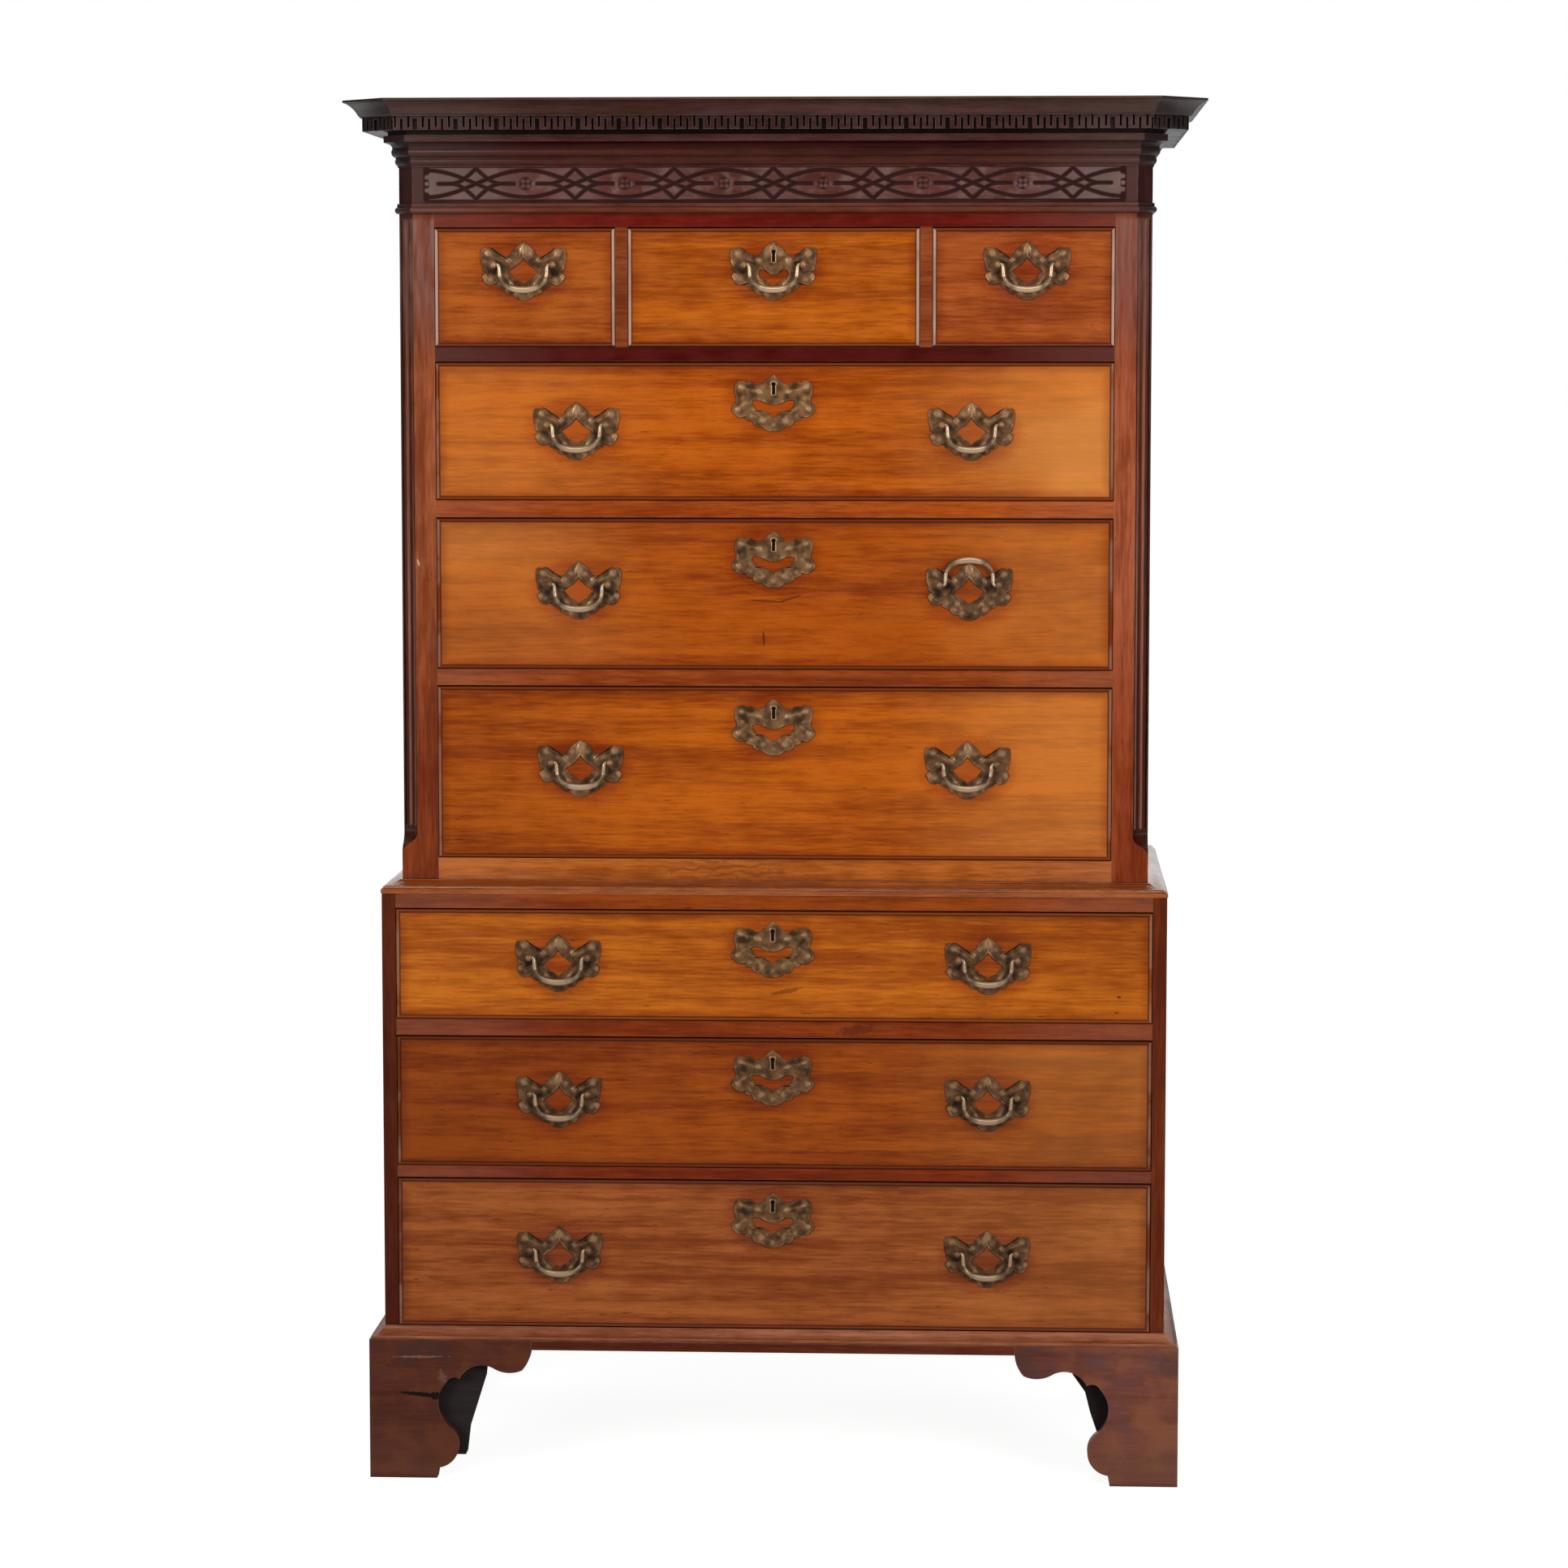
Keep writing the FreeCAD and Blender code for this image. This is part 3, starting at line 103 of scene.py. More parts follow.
# %% A bench for nodes
class Bench:
    """Works on one tree: each call adds a node, feeds its inputs and hands back what it made."""

    def __init__(self, tree):
        self.tree = tree
        self.tree.nodes.clear()

    def feed(self, socket, value):
        """Link the socket to an output, or set it to a number, a colour or a vector."""
        if isinstance(value, bpy.types.NodeSocket):
            self.tree.links.new(value, socket)
        elif socket.type == "RGBA":
            socket.default_value = (*value, 1.0)
        else:
            socket.default_value = value

    def add(self, kind, values=None, **settings):
        """Add a node of one kind, set it up and feed its inputs, named or numbered."""
        made = self.tree.nodes.new(kind)
        for name, setting in settings.items():
            setattr(made, name, setting)
        for name, value in (values or {}).items():
            self.feed(made.inputs[name], value)
        return made

    def split(self, vector):
        """x, y and z of a vector."""
        return tuple(self.add("ShaderNodeSeparateXYZ", {0: vector}).outputs)

    def join(self, x, y, z):
        """Vector of three numbers."""
        return self.add("ShaderNodeCombineXYZ", {0: x, 1: y, 2: z}).outputs[0]

    def arithmetic(self, operation, *terms):
        """One step of arithmetic on numbers."""
        return self.add("ShaderNodeMath", dict(enumerate(terms)), operation=operation).outputs[0]

    def plus(self, first, second):
        """The first number plus the second."""
        return self.arithmetic("ADD", first, second)

    def minus(self, first, second):
        """The first number minus the second."""
        return self.arithmetic("SUBTRACT", first, second)

    def times(self, first, *others):
        """Product of two numbers or more."""
        for other in others:
            first = self.arithmetic("MULTIPLY", first, other)
        return first

    def size(self, number):
        """The number without its sign."""
        return self.arithmetic("ABSOLUTE", number)

    def ramp(self, value, low, high, at_low=0.0, at_high=1.0, way="SMOOTHSTEP"):
        """Step from at_low, where value is low, to at_high, where it is high, smooth or straight."""
        limits = {"Value": value, "From Min": low, "From Max": high, "To Min": at_low, "To Max": at_high}
        return self.add("ShaderNodeMapRange", limits, interpolation_type=way).outputs[0]

    def mix(self, amount, first, second):
        """Mix of two numbers."""
        return self.add("ShaderNodeMix", {0: amount, 2: first, 3: second}).outputs[0]

    def blend(self, amount, first, second, way="MIX"):
        """Mix of two colours."""
        values = {0: amount, 6: first, 7: second}
        return self.add("ShaderNodeMix", values, data_type="RGBA", blend_type=way).outputs[2]

    def tinted(self, mask, colour, factors):
        """Colour times a factor for each of red, green and blue, where the mask is 1."""
        return self.blend(mask, colour, self.blend(1.0, colour, factors, "MULTIPLY"))

    def noise(self, vector, stretch, detail=2.0, seed=0.0):
        """Noise between 0 and 1; stretch is how many waves fit in a metre along each axis."""
        moved = {"Vector": vector, "Scale": stretch, "Location": (seed, seed * 1.7, 0.0)}
        waves = {"Vector": self.add("ShaderNodeMapping", moved).outputs[0], "Scale": 1.0, "Detail": detail}
        return self.add("ShaderNodeTexNoise", waves).outputs[0]


print("node bench ready")

# %% [markdown]
# ## A finish
# A finish is one material.  It reads Object coordinates, which are metres on the real piece,
# so a pore or a scratch has its real size and stays with its board when a drawer slides out.
# Two things can't come from a place alone.  Ambient occlusion finds the corners, where dirt
# stays and where the colour is also darkened as painted shade, and a comparison with a
# rounded normal finds the edges, where polish is rubbed off.

# %% A finish
SPOT_WAVES = (260.0, 260.0, 260.0)
MIDDLE_BLUR = 100.0
RAYS = 6


class Finish(Bench):
    """One material on the bench, with masks for places, spots, corners and edges; places in mm."""

    def __init__(self, name, metallic=0.0, coat=0.0, coat_roughness=0.2, specular=0.5):
        self.material = bpy.data.materials.new(name)
        self.material.use_nodes = True
        super().__init__(self.material.node_tree)
        constants = {"Metallic": metallic, "Coat Weight": coat, "Coat Roughness": coat_roughness}
        constants["Specular IOR Level"] = specular
        self.shader = self.add("ShaderNodeBsdfPrincipled", constants)
        output = self.add("ShaderNodeOutputMaterial")
        self.tree.links.new(self.shader.outputs["BSDF"], output.inputs["Surface"])
        coordinates = self.add("ShaderNodeTexCoord").outputs
        self.place = coordinates["Object"]
        self.normal = coordinates["Normal"]
        self.x, self.y, self.z = self.split(self.place)

    def upwards(self, low, high, at_low=0.0, at_high=1.0):
        """Ramp from one height to another."""
        return self.ramp(self.z, low * MM, high * MM, at_low, at_high)

    def rightwards(self, left, right, at_left=0.0, at_right=1.0):
        """Ramp from one place across the width to another."""
        return self.ramp(self.x, left * MM, right * MM, at_left, at_right)

    def right_half(self, at_left=0.0, at_right=1.0):
        """One value on the left half of the chest and one on the right."""
        return self.rightwards(-MIDDLE_BLUR, MIDDLE_BLUR, at_left, at_right)

    def outwards(self, near, far, at_near=0.0, at_far=1.0):
        """Ramp by the distance from the middle of the width, the same on both sides."""
        return self.ramp(self.size(self.x), near * MM, far * MM, at_near, at_far)

    def spot(self, x, z, half_x, half_z, turn=0.0, ragged=0.35):
        """Mask of a ragged oval on the front, from its centre, half sizes and turn in degrees.

        Turned back and divided by its half sizes, the oval is a circle of radius 1, and noise
        added to the distance from its centre makes the edge ragged.
        """
        dx = self.minus(self.x, x * MM)
        dz = self.minus(self.z, z * MM)
        c, s = math.cos(math.radians(turn)), math.sin(math.radians(turn))
        u = self.plus(self.times(dx, c / half_x / MM), self.times(dz, s / half_x / MM))
        v = self.plus(self.times(dx, -s / half_z / MM), self.times(dz, c / half_z / MM))
        reach = self.arithmetic("SQRT", self.plus(self.times(u, u), self.times(v, v)))
        rough = self.minus(self.noise(self.place, SPOT_WAVES, 2.0, 4.0), 0.5)
        return self.ramp(self.plus(reach, self.times(rough, ragged * 3)), 1.15, 0.75)

    def marked(self, colour, marks):
        """Colour with marks on it, each (its own colour, amount, values of its spot)."""
        for mark_colour, amount, spot in marks:
            colour = self.blend(self.times(self.spot(*spot), amount), colour, mark_colour)
        return colour

    def crevice(self, distance):
        """1 in the open, towards 0 in a corner or a groove; distance in metres."""
        return self.add("ShaderNodeAmbientOcclusion", {"Distance": distance}, samples=RAYS).outputs["AO"]

    def rubbed(self, radius):
        """0 on a flat, towards 1 along an edge that stands out; radius in metres."""
        rounded = self.add("ShaderNodeBevel", {"Radius": radius}, samples=RAYS).outputs[0]
        true = self.add("ShaderNodeNewGeometry").outputs["Normal"]
        same = self.add("ShaderNodeVectorMath", {0: rounded, 1: true}, operation="DOT_PRODUCT")
        return self.ramp(same.outputs["Value"], 0.99, 0.80)

    def carried(self, name):
        """Number that every point of the mesh carries under this name."""
        return self.add("ShaderNodeAttribute", attribute_name=name).outputs["Fac"]

    def done(self, colour, roughness, height, strength, distance):
        """Connect colour, roughness and relief to the shader; the material is finished."""
        self.feed(self.shader.inputs["Base Color"], colour)
        self.feed(self.shader.inputs["Roughness"], roughness)
        values = {"Strength": strength, "Distance": distance, "Height": height}
        self.feed(self.shader.inputs["Normal"], self.add("ShaderNodeBump", values).outputs[0])
        return self.material


print("finish bench ready, occlusion rays:", RAYS)

# %% [markdown]
# ## Which way the grain runs
# A board's grain follows its length: along the width of the chest on drawer fronts and
# rails, upright on posts and sides, and round the corner on a moulding, where the side
# lengths run from front to back.  A pattern is worked out in (along, across, depth), and
# this cell turns a place on the piece into those three.

# %% Grain directions
def grain_frame(finish, grain):
    """(along, across, depth) of a place for a board whose grain runs across, upright or round."""
    if grain == "across":
        return finish.join(finish.x, finish.z, finish.y)
    if grain == "upright":
        return finish.join(finish.z, finish.x, finish.y)
    nx, ny, _ = finish.split(finish.normal)
    sideways = finish.arithmetic("GREATER_THAN", finish.size(nx), finish.size(ny))
    front = finish.join(finish.x, finish.z, finish.y)
    side = finish.join(finish.y, finish.z, finish.x)
    return finish.add("ShaderNodeMix", {0: sideways, 4: front, 5: side}, data_type="VECTOR").outputs[1]


def scaled(colour, factors):
    """A colour times a factor for each of red, green and blue, at most 1."""
    return tuple(min(1.0, part * factor) for part, factor in zip(colour, factors))


print("grain runs across, upright or round")

# %% [markdown]
# ## Mahogany
# Old mahogany shows four things at once: broad bands of darker and lighter growth, narrow
# streaks, a very fine line texture, and short dark pores that lie along the grain.  Each is
# a noise stretched along the grain, from a metre long down to a centimetre.  An image could
# also do this, but a stack of noises is sharp at any size and never repeats.

# %% Mahogany figure
BAND_WAVES = (0.9, 11.0, 11.0)
STREAK_WAVES = (3.2, 66.0, 60.0)
LINE_WAVES = (26.0, 330.0, 300.0)
MOTTLE_WAVES = (24.0, 38.0, 38.0)
PORE_WAVES = (95.0, 1100.0, 900.0)
FLECK_WAVES = (50.0, 300.0, 300.0)
BAND_SHARE = 0.28
STREAK_SHARE = 0.34
LINE_SHARE = 0.24
MOTTLE_SHARE = 0.14


def figure(finish, grain, seed):
    """Shade of the wood from 0, dark, to 1, light; pore mask; a fine height; the mottle.

    The shade is the sum of bands, streaks, lines and mottle, each times its share; the height
    rises with the lines and drops in the pores.
    """
    bands = finish.noise(grain, BAND_WAVES, 2.0, seed)
    streaks = finish.noise(grain, STREAK_WAVES, 4.0, seed + 1)
    lines = finish.noise(grain, LINE_WAVES, 2.0, seed + 2)
    mottle = finish.noise(grain, MOTTLE_WAVES, 3.0, seed + 3)
    shade = finish.arithmetic("MULTIPLY_ADD", bands, BAND_SHARE, finish.times(streaks, STREAK_SHARE))
    shade = finish.arithmetic("MULTIPLY_ADD", lines, LINE_SHARE, shade)
    shade = finish.arithmetic("MULTIPLY_ADD", mottle, MOTTLE_SHARE, shade)
    pores = finish.ramp(finish.noise(grain, PORE_WAVES, 1.0, seed + 4), 0.60, 0.70)
    flecks = finish.ramp(finish.noise(grain, FLECK_WAVES, 1.0, seed + 5), 0.72, 0.80)
    pores = finish.arithmetic("MAXIMUM", finish.times(pores, 0.30), finish.times(flecks, 0.75))
    height = finish.minus(finish.times(lines, 0.6), pores)
    return finish.ramp(shade, 0.38, 0.62), pores, height, mottle


print("figure: bands, streaks, lines, mottle, pores and flecks")

# %% [markdown]
# ## The colour of mahogany
# Dense growth is darker and redder, loose growth lighter and yellower.  So a board needs one
# tone of its own, and the growth multiplies that tone by one set of factors or the other.

# %% Mahogany colour
DARK_GROWTH = (0.64, 0.50, 0.38)
LIGHT_GROWTH = (1.32, 1.46, 1.70)
PORE = (0.45, 0.36, 0.34)


def mahogany_colour(finish, tone, shade, pores, contrast=1.0):
    """Tone of the board times the growth, darker and redder where it is dense; dark pores."""
    low = tuple(1 - (1 - part) * contrast for part in DARK_GROWTH)
    high = tuple(1 + (part - 1) * contrast for part in LIGHT_GROWTH)
    colour = finish.blend(1.0, tone, finish.blend(shade, low, high), "MULTIPLY")
    return finish.blend(pores, colour, finish.blend(1.0, colour, PORE, "MULTIPLY"))


def by_height(finish, tones):
    """Tone that changes upwards: the lowest one, then (height in mm, tone above it) pairs."""
    colour = tones[0]
    for height, tone in tones[1:]:
        colour = finish.blend(finish.upwards(height - 1.0, height + 1.0), colour, tone)
    return colour


def sheen(finish, mottle, smooth, rough):
    """Roughness between two values, following the mottle."""
    return finish.ramp(mottle, 0.35, 0.65, smooth, rough)


print("mahogany colours ready")

# %% [markdown]
# ## Case mahogany
# The outside of the case has been handled, waxed and dusted for two hundred years.  Wax and
# dirt stay in the corners, which are also darkened there as painted shade, and the polish is
# rubbed thin along the edges, where paler wood shows.  Dirt and wear could be painted on each
# piece, but masks for corners and edges let one recipe work on any moulding.

# %% Case mahogany
GRIME_AND_PAINTED_SHADE = (0.012, 0.006, 0.005)
EDGE_RADIUS = 0.0016
WEAR_PATCHES = (60.0, 60.0, 60.0)
WAXED_ROUGHNESS = (0.30, 0.42)
WELD_WITHIN = 0.00001
CORNER_ANGLE = 50.0


def polished(name, coat=0.05):
    """A finish with a thin film of wax over wood that hardly shines itself."""
    return Finish(name, coat=coat, coat_roughness=0.16, specular=0.14)


def case_mahogany(name, tone, grain="across", worn=(0.36, 0.22, 0.16), wear=0.5, dirt_and_shade=0.75, seed=0.0,
                  contrast=1.0, reach=0.012, marks=None, coat=0.05):
    """Polished mahogany, dirty and painted dark as shade in its corners, rubbed along its edges; tone may
    be for by_height.
    """
    finish = polished(name, coat)
    shade, pores, height, mottle = figure(finish, grain_frame(finish, grain), seed)
    if isinstance(tone, list):
        tone = by_height(finish, tone)
    colour = mahogany_colour(finish, tone, shade, pores, contrast)
    if marks:
        colour = marks(finish, colour)
    open_air = finish.crevice(reach)
    # Corners and grooves darken towards the grime colour: dirt, and painted shade.
    colour = finish.blend(finish.times(finish.ramp(open_air, 0.95, 0.25), dirt_and_shade), colour, GRIME_AND_PAINTED_SHADE)
    patchy = finish.ramp(finish.noise(finish.place, WEAR_PATCHES, 3.0, seed + 9), 0.38, 0.62, 0.25, 1.0)
    rub = finish.times(finish.rubbed(EDGE_RADIUS), patchy, wear, finish.ramp(open_air, 0.45, 0.8))
    colour = finish.blend(rub, colour, worn)
    rough = sheen(finish, mottle, *WAXED_ROUGHNESS)
    return finish.done(colour, rough, height, strength=0.25, distance=0.0004)


def dress(node, material, bevel=0.0):
    """Give a CAD node its finish and, where bevel is set, soften its edges by that many mm."""
    piece = nodes[node]
    piece.data.materials.clear()
    piece.data.materials.append(material)
    if bevel:
        weld = piece.modifiers.new("weld", "WELD")
        weld.merge_threshold = WELD_WITHIN
        soft = piece.modifiers.new("soft edges", "BEVEL")
        soft.width = bevel * MM
        soft.segments = 2
        soft.limit_method = "ANGLE"
        soft.angle_limit = math.radians(CORNER_ANGLE)
        soft.use_clamp_overlap = True
        soft.harden_normals = False


print("case finish ready")

# %% [markdown]
# ## Cornice and frieze
# The cornice is the darkest wood: nobody polishes that high, and smoke and dust settle
# there.  Several mouldings share a node, so the tone changes by height; the darkest bands
# are painted shade, under the crown, in a cove and under the key band.  The lengths on the
# canted corners, which turn from the light, are painted darker still as shade, and towards
# the ends the front carries a painted sheen.

# %% Cornice and frieze
CASE_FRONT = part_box("upper_rails")[0].y
POST_HALF = 0.475
MITRE_BLUR = 0.0004
PAINTED_CORNICE_END_SHEEN = (0.13, 0.095, 0.085)
PAINTED_CANT_SHADE_TINT = (0.38, 0.42, 0.50)
FIELD_END = (0.078, 0.034, 0.029)
CORNICE_WORN = (0.17, 0.115, 0.10)


def beyond_mitre(finish):
    """1 beyond the mitre where a front moulding meets its canted corner, 0 on the front.

    The corner is cut at 45 degrees, so the mitre runs outwards at half of that: for every
    millimetre that a moulding stands out, the mitre lies 0.414 mm further from the middle.
    """
    out = finish.minus(CASE_FRONT, finish.y)
    mitre = finish.arithmetic("MULTIPLY_ADD", out, math.tan(math.radians(22.5)), POST_HALF)
    return finish.ramp(finish.minus(finish.size(finish.x), mitre), -MITRE_BLUR, MITRE_BLUR)


def cornice_marks(finish, colour):
    """Painted shade on the cants and returns; a greyer, lighter painted sheen towards the ends of the
    front.
    """
    dust_and_sheen = finish.blend(0.5, colour, PAINTED_CORNICE_END_SHEEN)
    colour = finish.blend(finish.outwards(300.0, 470.0, 0.0, 0.5), colour, dust_and_sheen)
    return finish.tinted(beyond_mitre(finish), colour, PAINTED_CANT_SHADE_TINT)


def field_marks(finish, colour):
    """Paler ends of the frieze board, beside the fret."""
    return finish.blend(finish.outwards(458.0, 461.0), colour, FIELD_END)


# Below 1807.5 mm the crown is nearly black: painted shade on its underside.
crown = case_mahogany(
    "crown mahogany", [(0.016, 0.006, 0.005), (1807.5, (0.072, 0.030, 0.022))],
    "round", CORNICE_WORN, wear=0.6, dirt_and_shade=0.7, seed=1.0, marks=cornice_marks)
key = case_mahogany(
    "key mahogany", (0.050, 0.018, 0.014),
    "round", CORNICE_WORN, wear=1.0, dirt_and_shade=0.9, seed=2.0, reach=0.007, marks=cornice_marks)
# The band from 1768 to 1776 mm is painted shade in a cove, and above 1785 mm painted shade under the key
# band.
bed = case_mahogany(
    "bed moulding mahogany",
    [(0.125, 0.028, 0.013), (1700.0, (0.064, 0.013, 0.0075)), (1768.0, (0.030, 0.0015, 0.0006)),
     (1776.0, (0.080, 0.026, 0.020)), (1785.0, (0.015, 0.003, 0.002))],
    "round", CORNICE_WORN, wear=0.6, dirt_and_shade=0.7, seed=3.0, marks=cornice_marks)
field = case_mahogany(
    "frieze mahogany", (0.048, 0.015, 0.011),
    "across", CORNICE_WORN, wear=0.6, dirt_and_shade=0.8, seed=4.0, marks=field_marks)
dress("crown_moulding", crown, 0.5)
dress("key_dentil", key, 0.3)
dress("frieze_mouldings", bed, 0.4)
dress("frieze", field, 0.3)
print("cornice and frieze dressed")

# %% [markdown]
# ## Posts
# The upper posts carry three finishes in one piece of wood: the flat face beside the
# drawers, the canted corner with its reeds, painted darker as shade, and the part beside the
# frieze.  Pale scuffs up high also carry a painted sheen.  Cutting the post up would show
# seams, so the finish tells them apart by height and by how far the surface turns away from
# the front.

# %% Posts
POST_TONE = (0.312, 0.076, 0.0225)
RIGHT_FACE_TINT = (1.10, 1.03, 1.20)
HIGH_FACE_TINT = (0.55, 0.50, 0.65)
LOW_POST_TINT = (0.72, 0.50, 0.25)
PAINTED_POST_CANT_SHADE = (0.21, 0.24, 0.46)
BESIDE_FRIEZE_TINT = (0.18, 0.24, 0.5)
CANT_BESIDE_FRIEZE_TINT = (3.3, 2.2, 1.6)
SCUFF_AND_SHEEN = (0.240, 0.112, 0.092)
SCUFF_AND_SHEEN_WAVES = (150.0, 150.0, 16.0)
CHIP = (0.55, 0.33, 0.2)
CHIP_SPOT = (-471.0, 1224.0, 1.6, 5.0, 12.0)


def post_marks(finish, colour):
    """Canted corners painted dark as shade, darker wood up high and beside the frieze, pale scuffs with a
    painted sheen, one chip.
    """
    nx, _, _ = finish.split(finish.normal)
    cant = finish.ramp(finish.size(nx), 0.25, 0.6)
    face = finish.minus(1.0, cant)
    colour = finish.tinted(finish.times(finish.right_half(), face), colour, RIGHT_FACE_TINT)
    colour = finish.tinted(finish.times(face, finish.upwards(1420.0, 1600.0)), colour, HIGH_FACE_TINT)
    colour = finish.tinted(finish.upwards(1250.0, 920.0), colour, LOW_POST_TINT)
    # Painted shade: the canted corners turn away from the lamps.
    colour = finish.tinted(cant, colour, PAINTED_POST_CANT_SHADE)
    beside_frieze = finish.upwards(1681.0, 1683.5)
    colour = finish.tinted(beside_frieze, colour, BESIDE_FRIEZE_TINT)
    colour = finish.tinted(finish.times(beside_frieze, cant), colour, CANT_BESIDE_FRIEZE_TINT)

    # Pale scuffs up high, partly a painted sheen.
    zone = finish.times(finish.upwards(1480.0, 1620.0), finish.upwards(1679.0, 1672.0))
    streaky = finish.ramp(finish.noise(finish.place, SCUFF_AND_SHEEN_WAVES, 4.0, 3.0), 0.36, 0.66, 0.15, 1.0)
    fewer_right = finish.right_half(1.0, 0.7)
    fewer_on_cant = finish.ramp(cant, 0.0, 1.0, 1.0, 0.75)
    colour = finish.blend(finish.times(zone, fewer_right, streaky, fewer_on_cant), colour, SCUFF_AND_SHEEN)
    return finish.blend(finish.spot(*CHIP_SPOT), colour, CHIP)


posts = case_mahogany(
    "post mahogany", POST_TONE,
    "upright", (0.40, 0.24, 0.17), wear=0.6, dirt_and_shade=0.8, seed=6.0, marks=post_marks)
dress("corner_posts", posts, 0.5)
print("posts dressed")

# %% [markdown]
# ## Rails
# A rail is the strip of case between two drawers.  All rails of a case are one node, so each
# gets its tone from its height.  The lowest rail of the upper case was cut where a branch
# left the trunk, and rings pushed out of shape by noise give that swirl.

# %% Rails
UPPER_RAIL_TONES = [
    (0.410, 0.098, 0.009), (835.0, (0.274, 0.048, 0.004)), (1175.0, (0.370, 0.065, 0.004)),
    (1400.0, (0.071, 0.0025, 0.0006)), (1508.5, (0.245, 0.050, 0.010)), (1665.0, (0.155, 0.007, 0.0006)),
]
LOWER_RAIL_TONES = [
    (0.195, 0.023, 0.001), (500.0, (0.212, 0.030, 0.001)), (700.0, (0.245, 0.040, 0.001)),
]
PAINTED_RAIL_SHEEN = (0.40, 0.26, 0.20)
CROTCH = (0.16, 0.045, 0.012)
CROTCH_SPOT = (-62.0, 818.0, 95.0, 14.0)
KNOT = ((0.07, 0.012, 0.004), 0.6, (112.0, 607.5, 26.0, 6.0, 8.0, 0.6))


def sheen_at_ends(finish, colour):
    """Painted sheen, lighter and greyer, towards both ends of a rail."""
    return finish.blend(finish.outwards(240.0, 450.0, 0.0, 0.10), colour, PAINTED_RAIL_SHEEN)


def upper_rail_marks(finish, colour):
    """Crotch figure, a knot-like swirl, on the lightest and lowest rail of the upper case."""
    colour = sheen_at_ends(finish, colour)
    rings = {"Vector": finish.place, "Scale": 28.0, "Distortion": 9.0, "Detail": 3.0, "Detail Scale": 1.2}
    swirl = finish.add("ShaderNodeTexWave", rings, wave_type="RINGS", rings_direction="Y").outputs["Fac"]
    crotch = finish.times(finish.spot(*CROTCH_SPOT), finish.ramp(swirl, 0.4, 0.9), 0.55)
    return finish.blend(crotch, colour, CROTCH)


def lower_rail_marks(finish, colour):
    """One small dark knot on the rail under the first long drawer of the lower case."""
    return finish.marked(sheen_at_ends(finish, colour), [KNOT])


upper_rail = case_mahogany(
    "upper rail mahogany", UPPER_RAIL_TONES,
    "across", (0.36, 0.20, 0.13), wear=0.5, dirt_and_shade=0.7, seed=7.0, marks=upper_rail_marks)
lower_rail = case_mahogany(
    "lower rail mahogany", LOWER_RAIL_TONES,
    "across", (0.30, 0.15, 0.09), wear=0.5, dirt_and_shade=0.7, seed=8.0, marks=lower_rail_marks)
dress("upper_rails", upper_rail, 0.4)
dress("lower_rails", lower_rail, 0.4)
print("rails dressed")

# %% [markdown]
# ## Sides, waist and base
# The sides are plain upright boards.  The waist moulding, where the two cases meet, is at
# the height of hands and dusters and shines most, so it gets a thick coat; the base has been
# rubbed by brooms and is dull, and its upper moulding is paler than the board below.

# %% Sides, waist and base
RIGHT_SIDE_TINT = (1.62, 1.85, 1.7)


def lower_side_marks(finish, colour):
    """Lighter on the right half."""
    return finish.tinted(finish.right_half(), colour, RIGHT_SIDE_TINT)


upper_side = case_mahogany("upper side mahogany", (0.155, 0.034, 0.010), "upright", seed=9.0)
lower_side = case_mahogany(
    "lower side mahogany", (0.088, 0.0120, 0.0013),
    "upright", (0.30, 0.16, 0.1), wear=0.6, dirt_and_shade=0.7, seed=10.0, marks=lower_side_marks)
waist = case_mahogany(
    "waist mahogany", (0.360, 0.087, 0.012),
    "round", (0.42, 0.26, 0.17), wear=0.6, dirt_and_shade=0.6, seed=11.0, coat=0.8)
base = case_mahogany(
    "base mahogany", [(0.116, 0.0210, 0.0065), (188.0, (0.31, 0.098, 0.040))],
    "round", (0.38, 0.24, 0.17), wear=0.6, dirt_and_shade=0.5, seed=12.0)
dress("upper_sides", upper_side, 0.5)
dress("lower_sides", lower_side, 0.6)
dress("waist_moulding", waist, 0.4)
dress("base_moulding", base, 0.5)
print("sides, waist and base dressed")

# %% [markdown]
# ## Bracket feet
# The feet take the knocks of brooms and shoes, so they are darker, duller and more scratched
# than the case.  The left foot has a crack along the grain that widens towards the bracket.
# It could be cut into the mesh, but a hairline is all shadow, and a dark spot gives that.

# %% Bracket feet
PALE_CLOUD = (0.125, 0.034, 0.013)
DARK_CLOUD = (0.055, 0.022, 0.018)
RIGHT_FOOT_TINT = (2.0, 2.5, 3.1)
SCUFFED_FOOT = (0.17, 0.068, 0.040)
CRACK = (0.006, 0.003, 0.002)
CRACK_THIN_END = (-467.0, 113.5, 32.0, 3.0, -5.0)
CRACK_WIDE_END = (-446.0, 111.0, 17.0, 5.5, -8.0)
GREY_CORNER = ((0.060, 0.040, 0.036), 0.5, (535.0, 165.0, 22.0, 20.0, 20.0, 0.3))
PALE_SCRATCH = ((0.28, 0.17, 0.13), 0.45, (-475.0, 165.0, 31.0, 1.6, 1.0, 0.6))
RUBBED_SPOT = ((0.17, 0.11, 0.095), 0.4, (-441.0, 137.0, 5.0, 8.0, 10.0, 0.8))


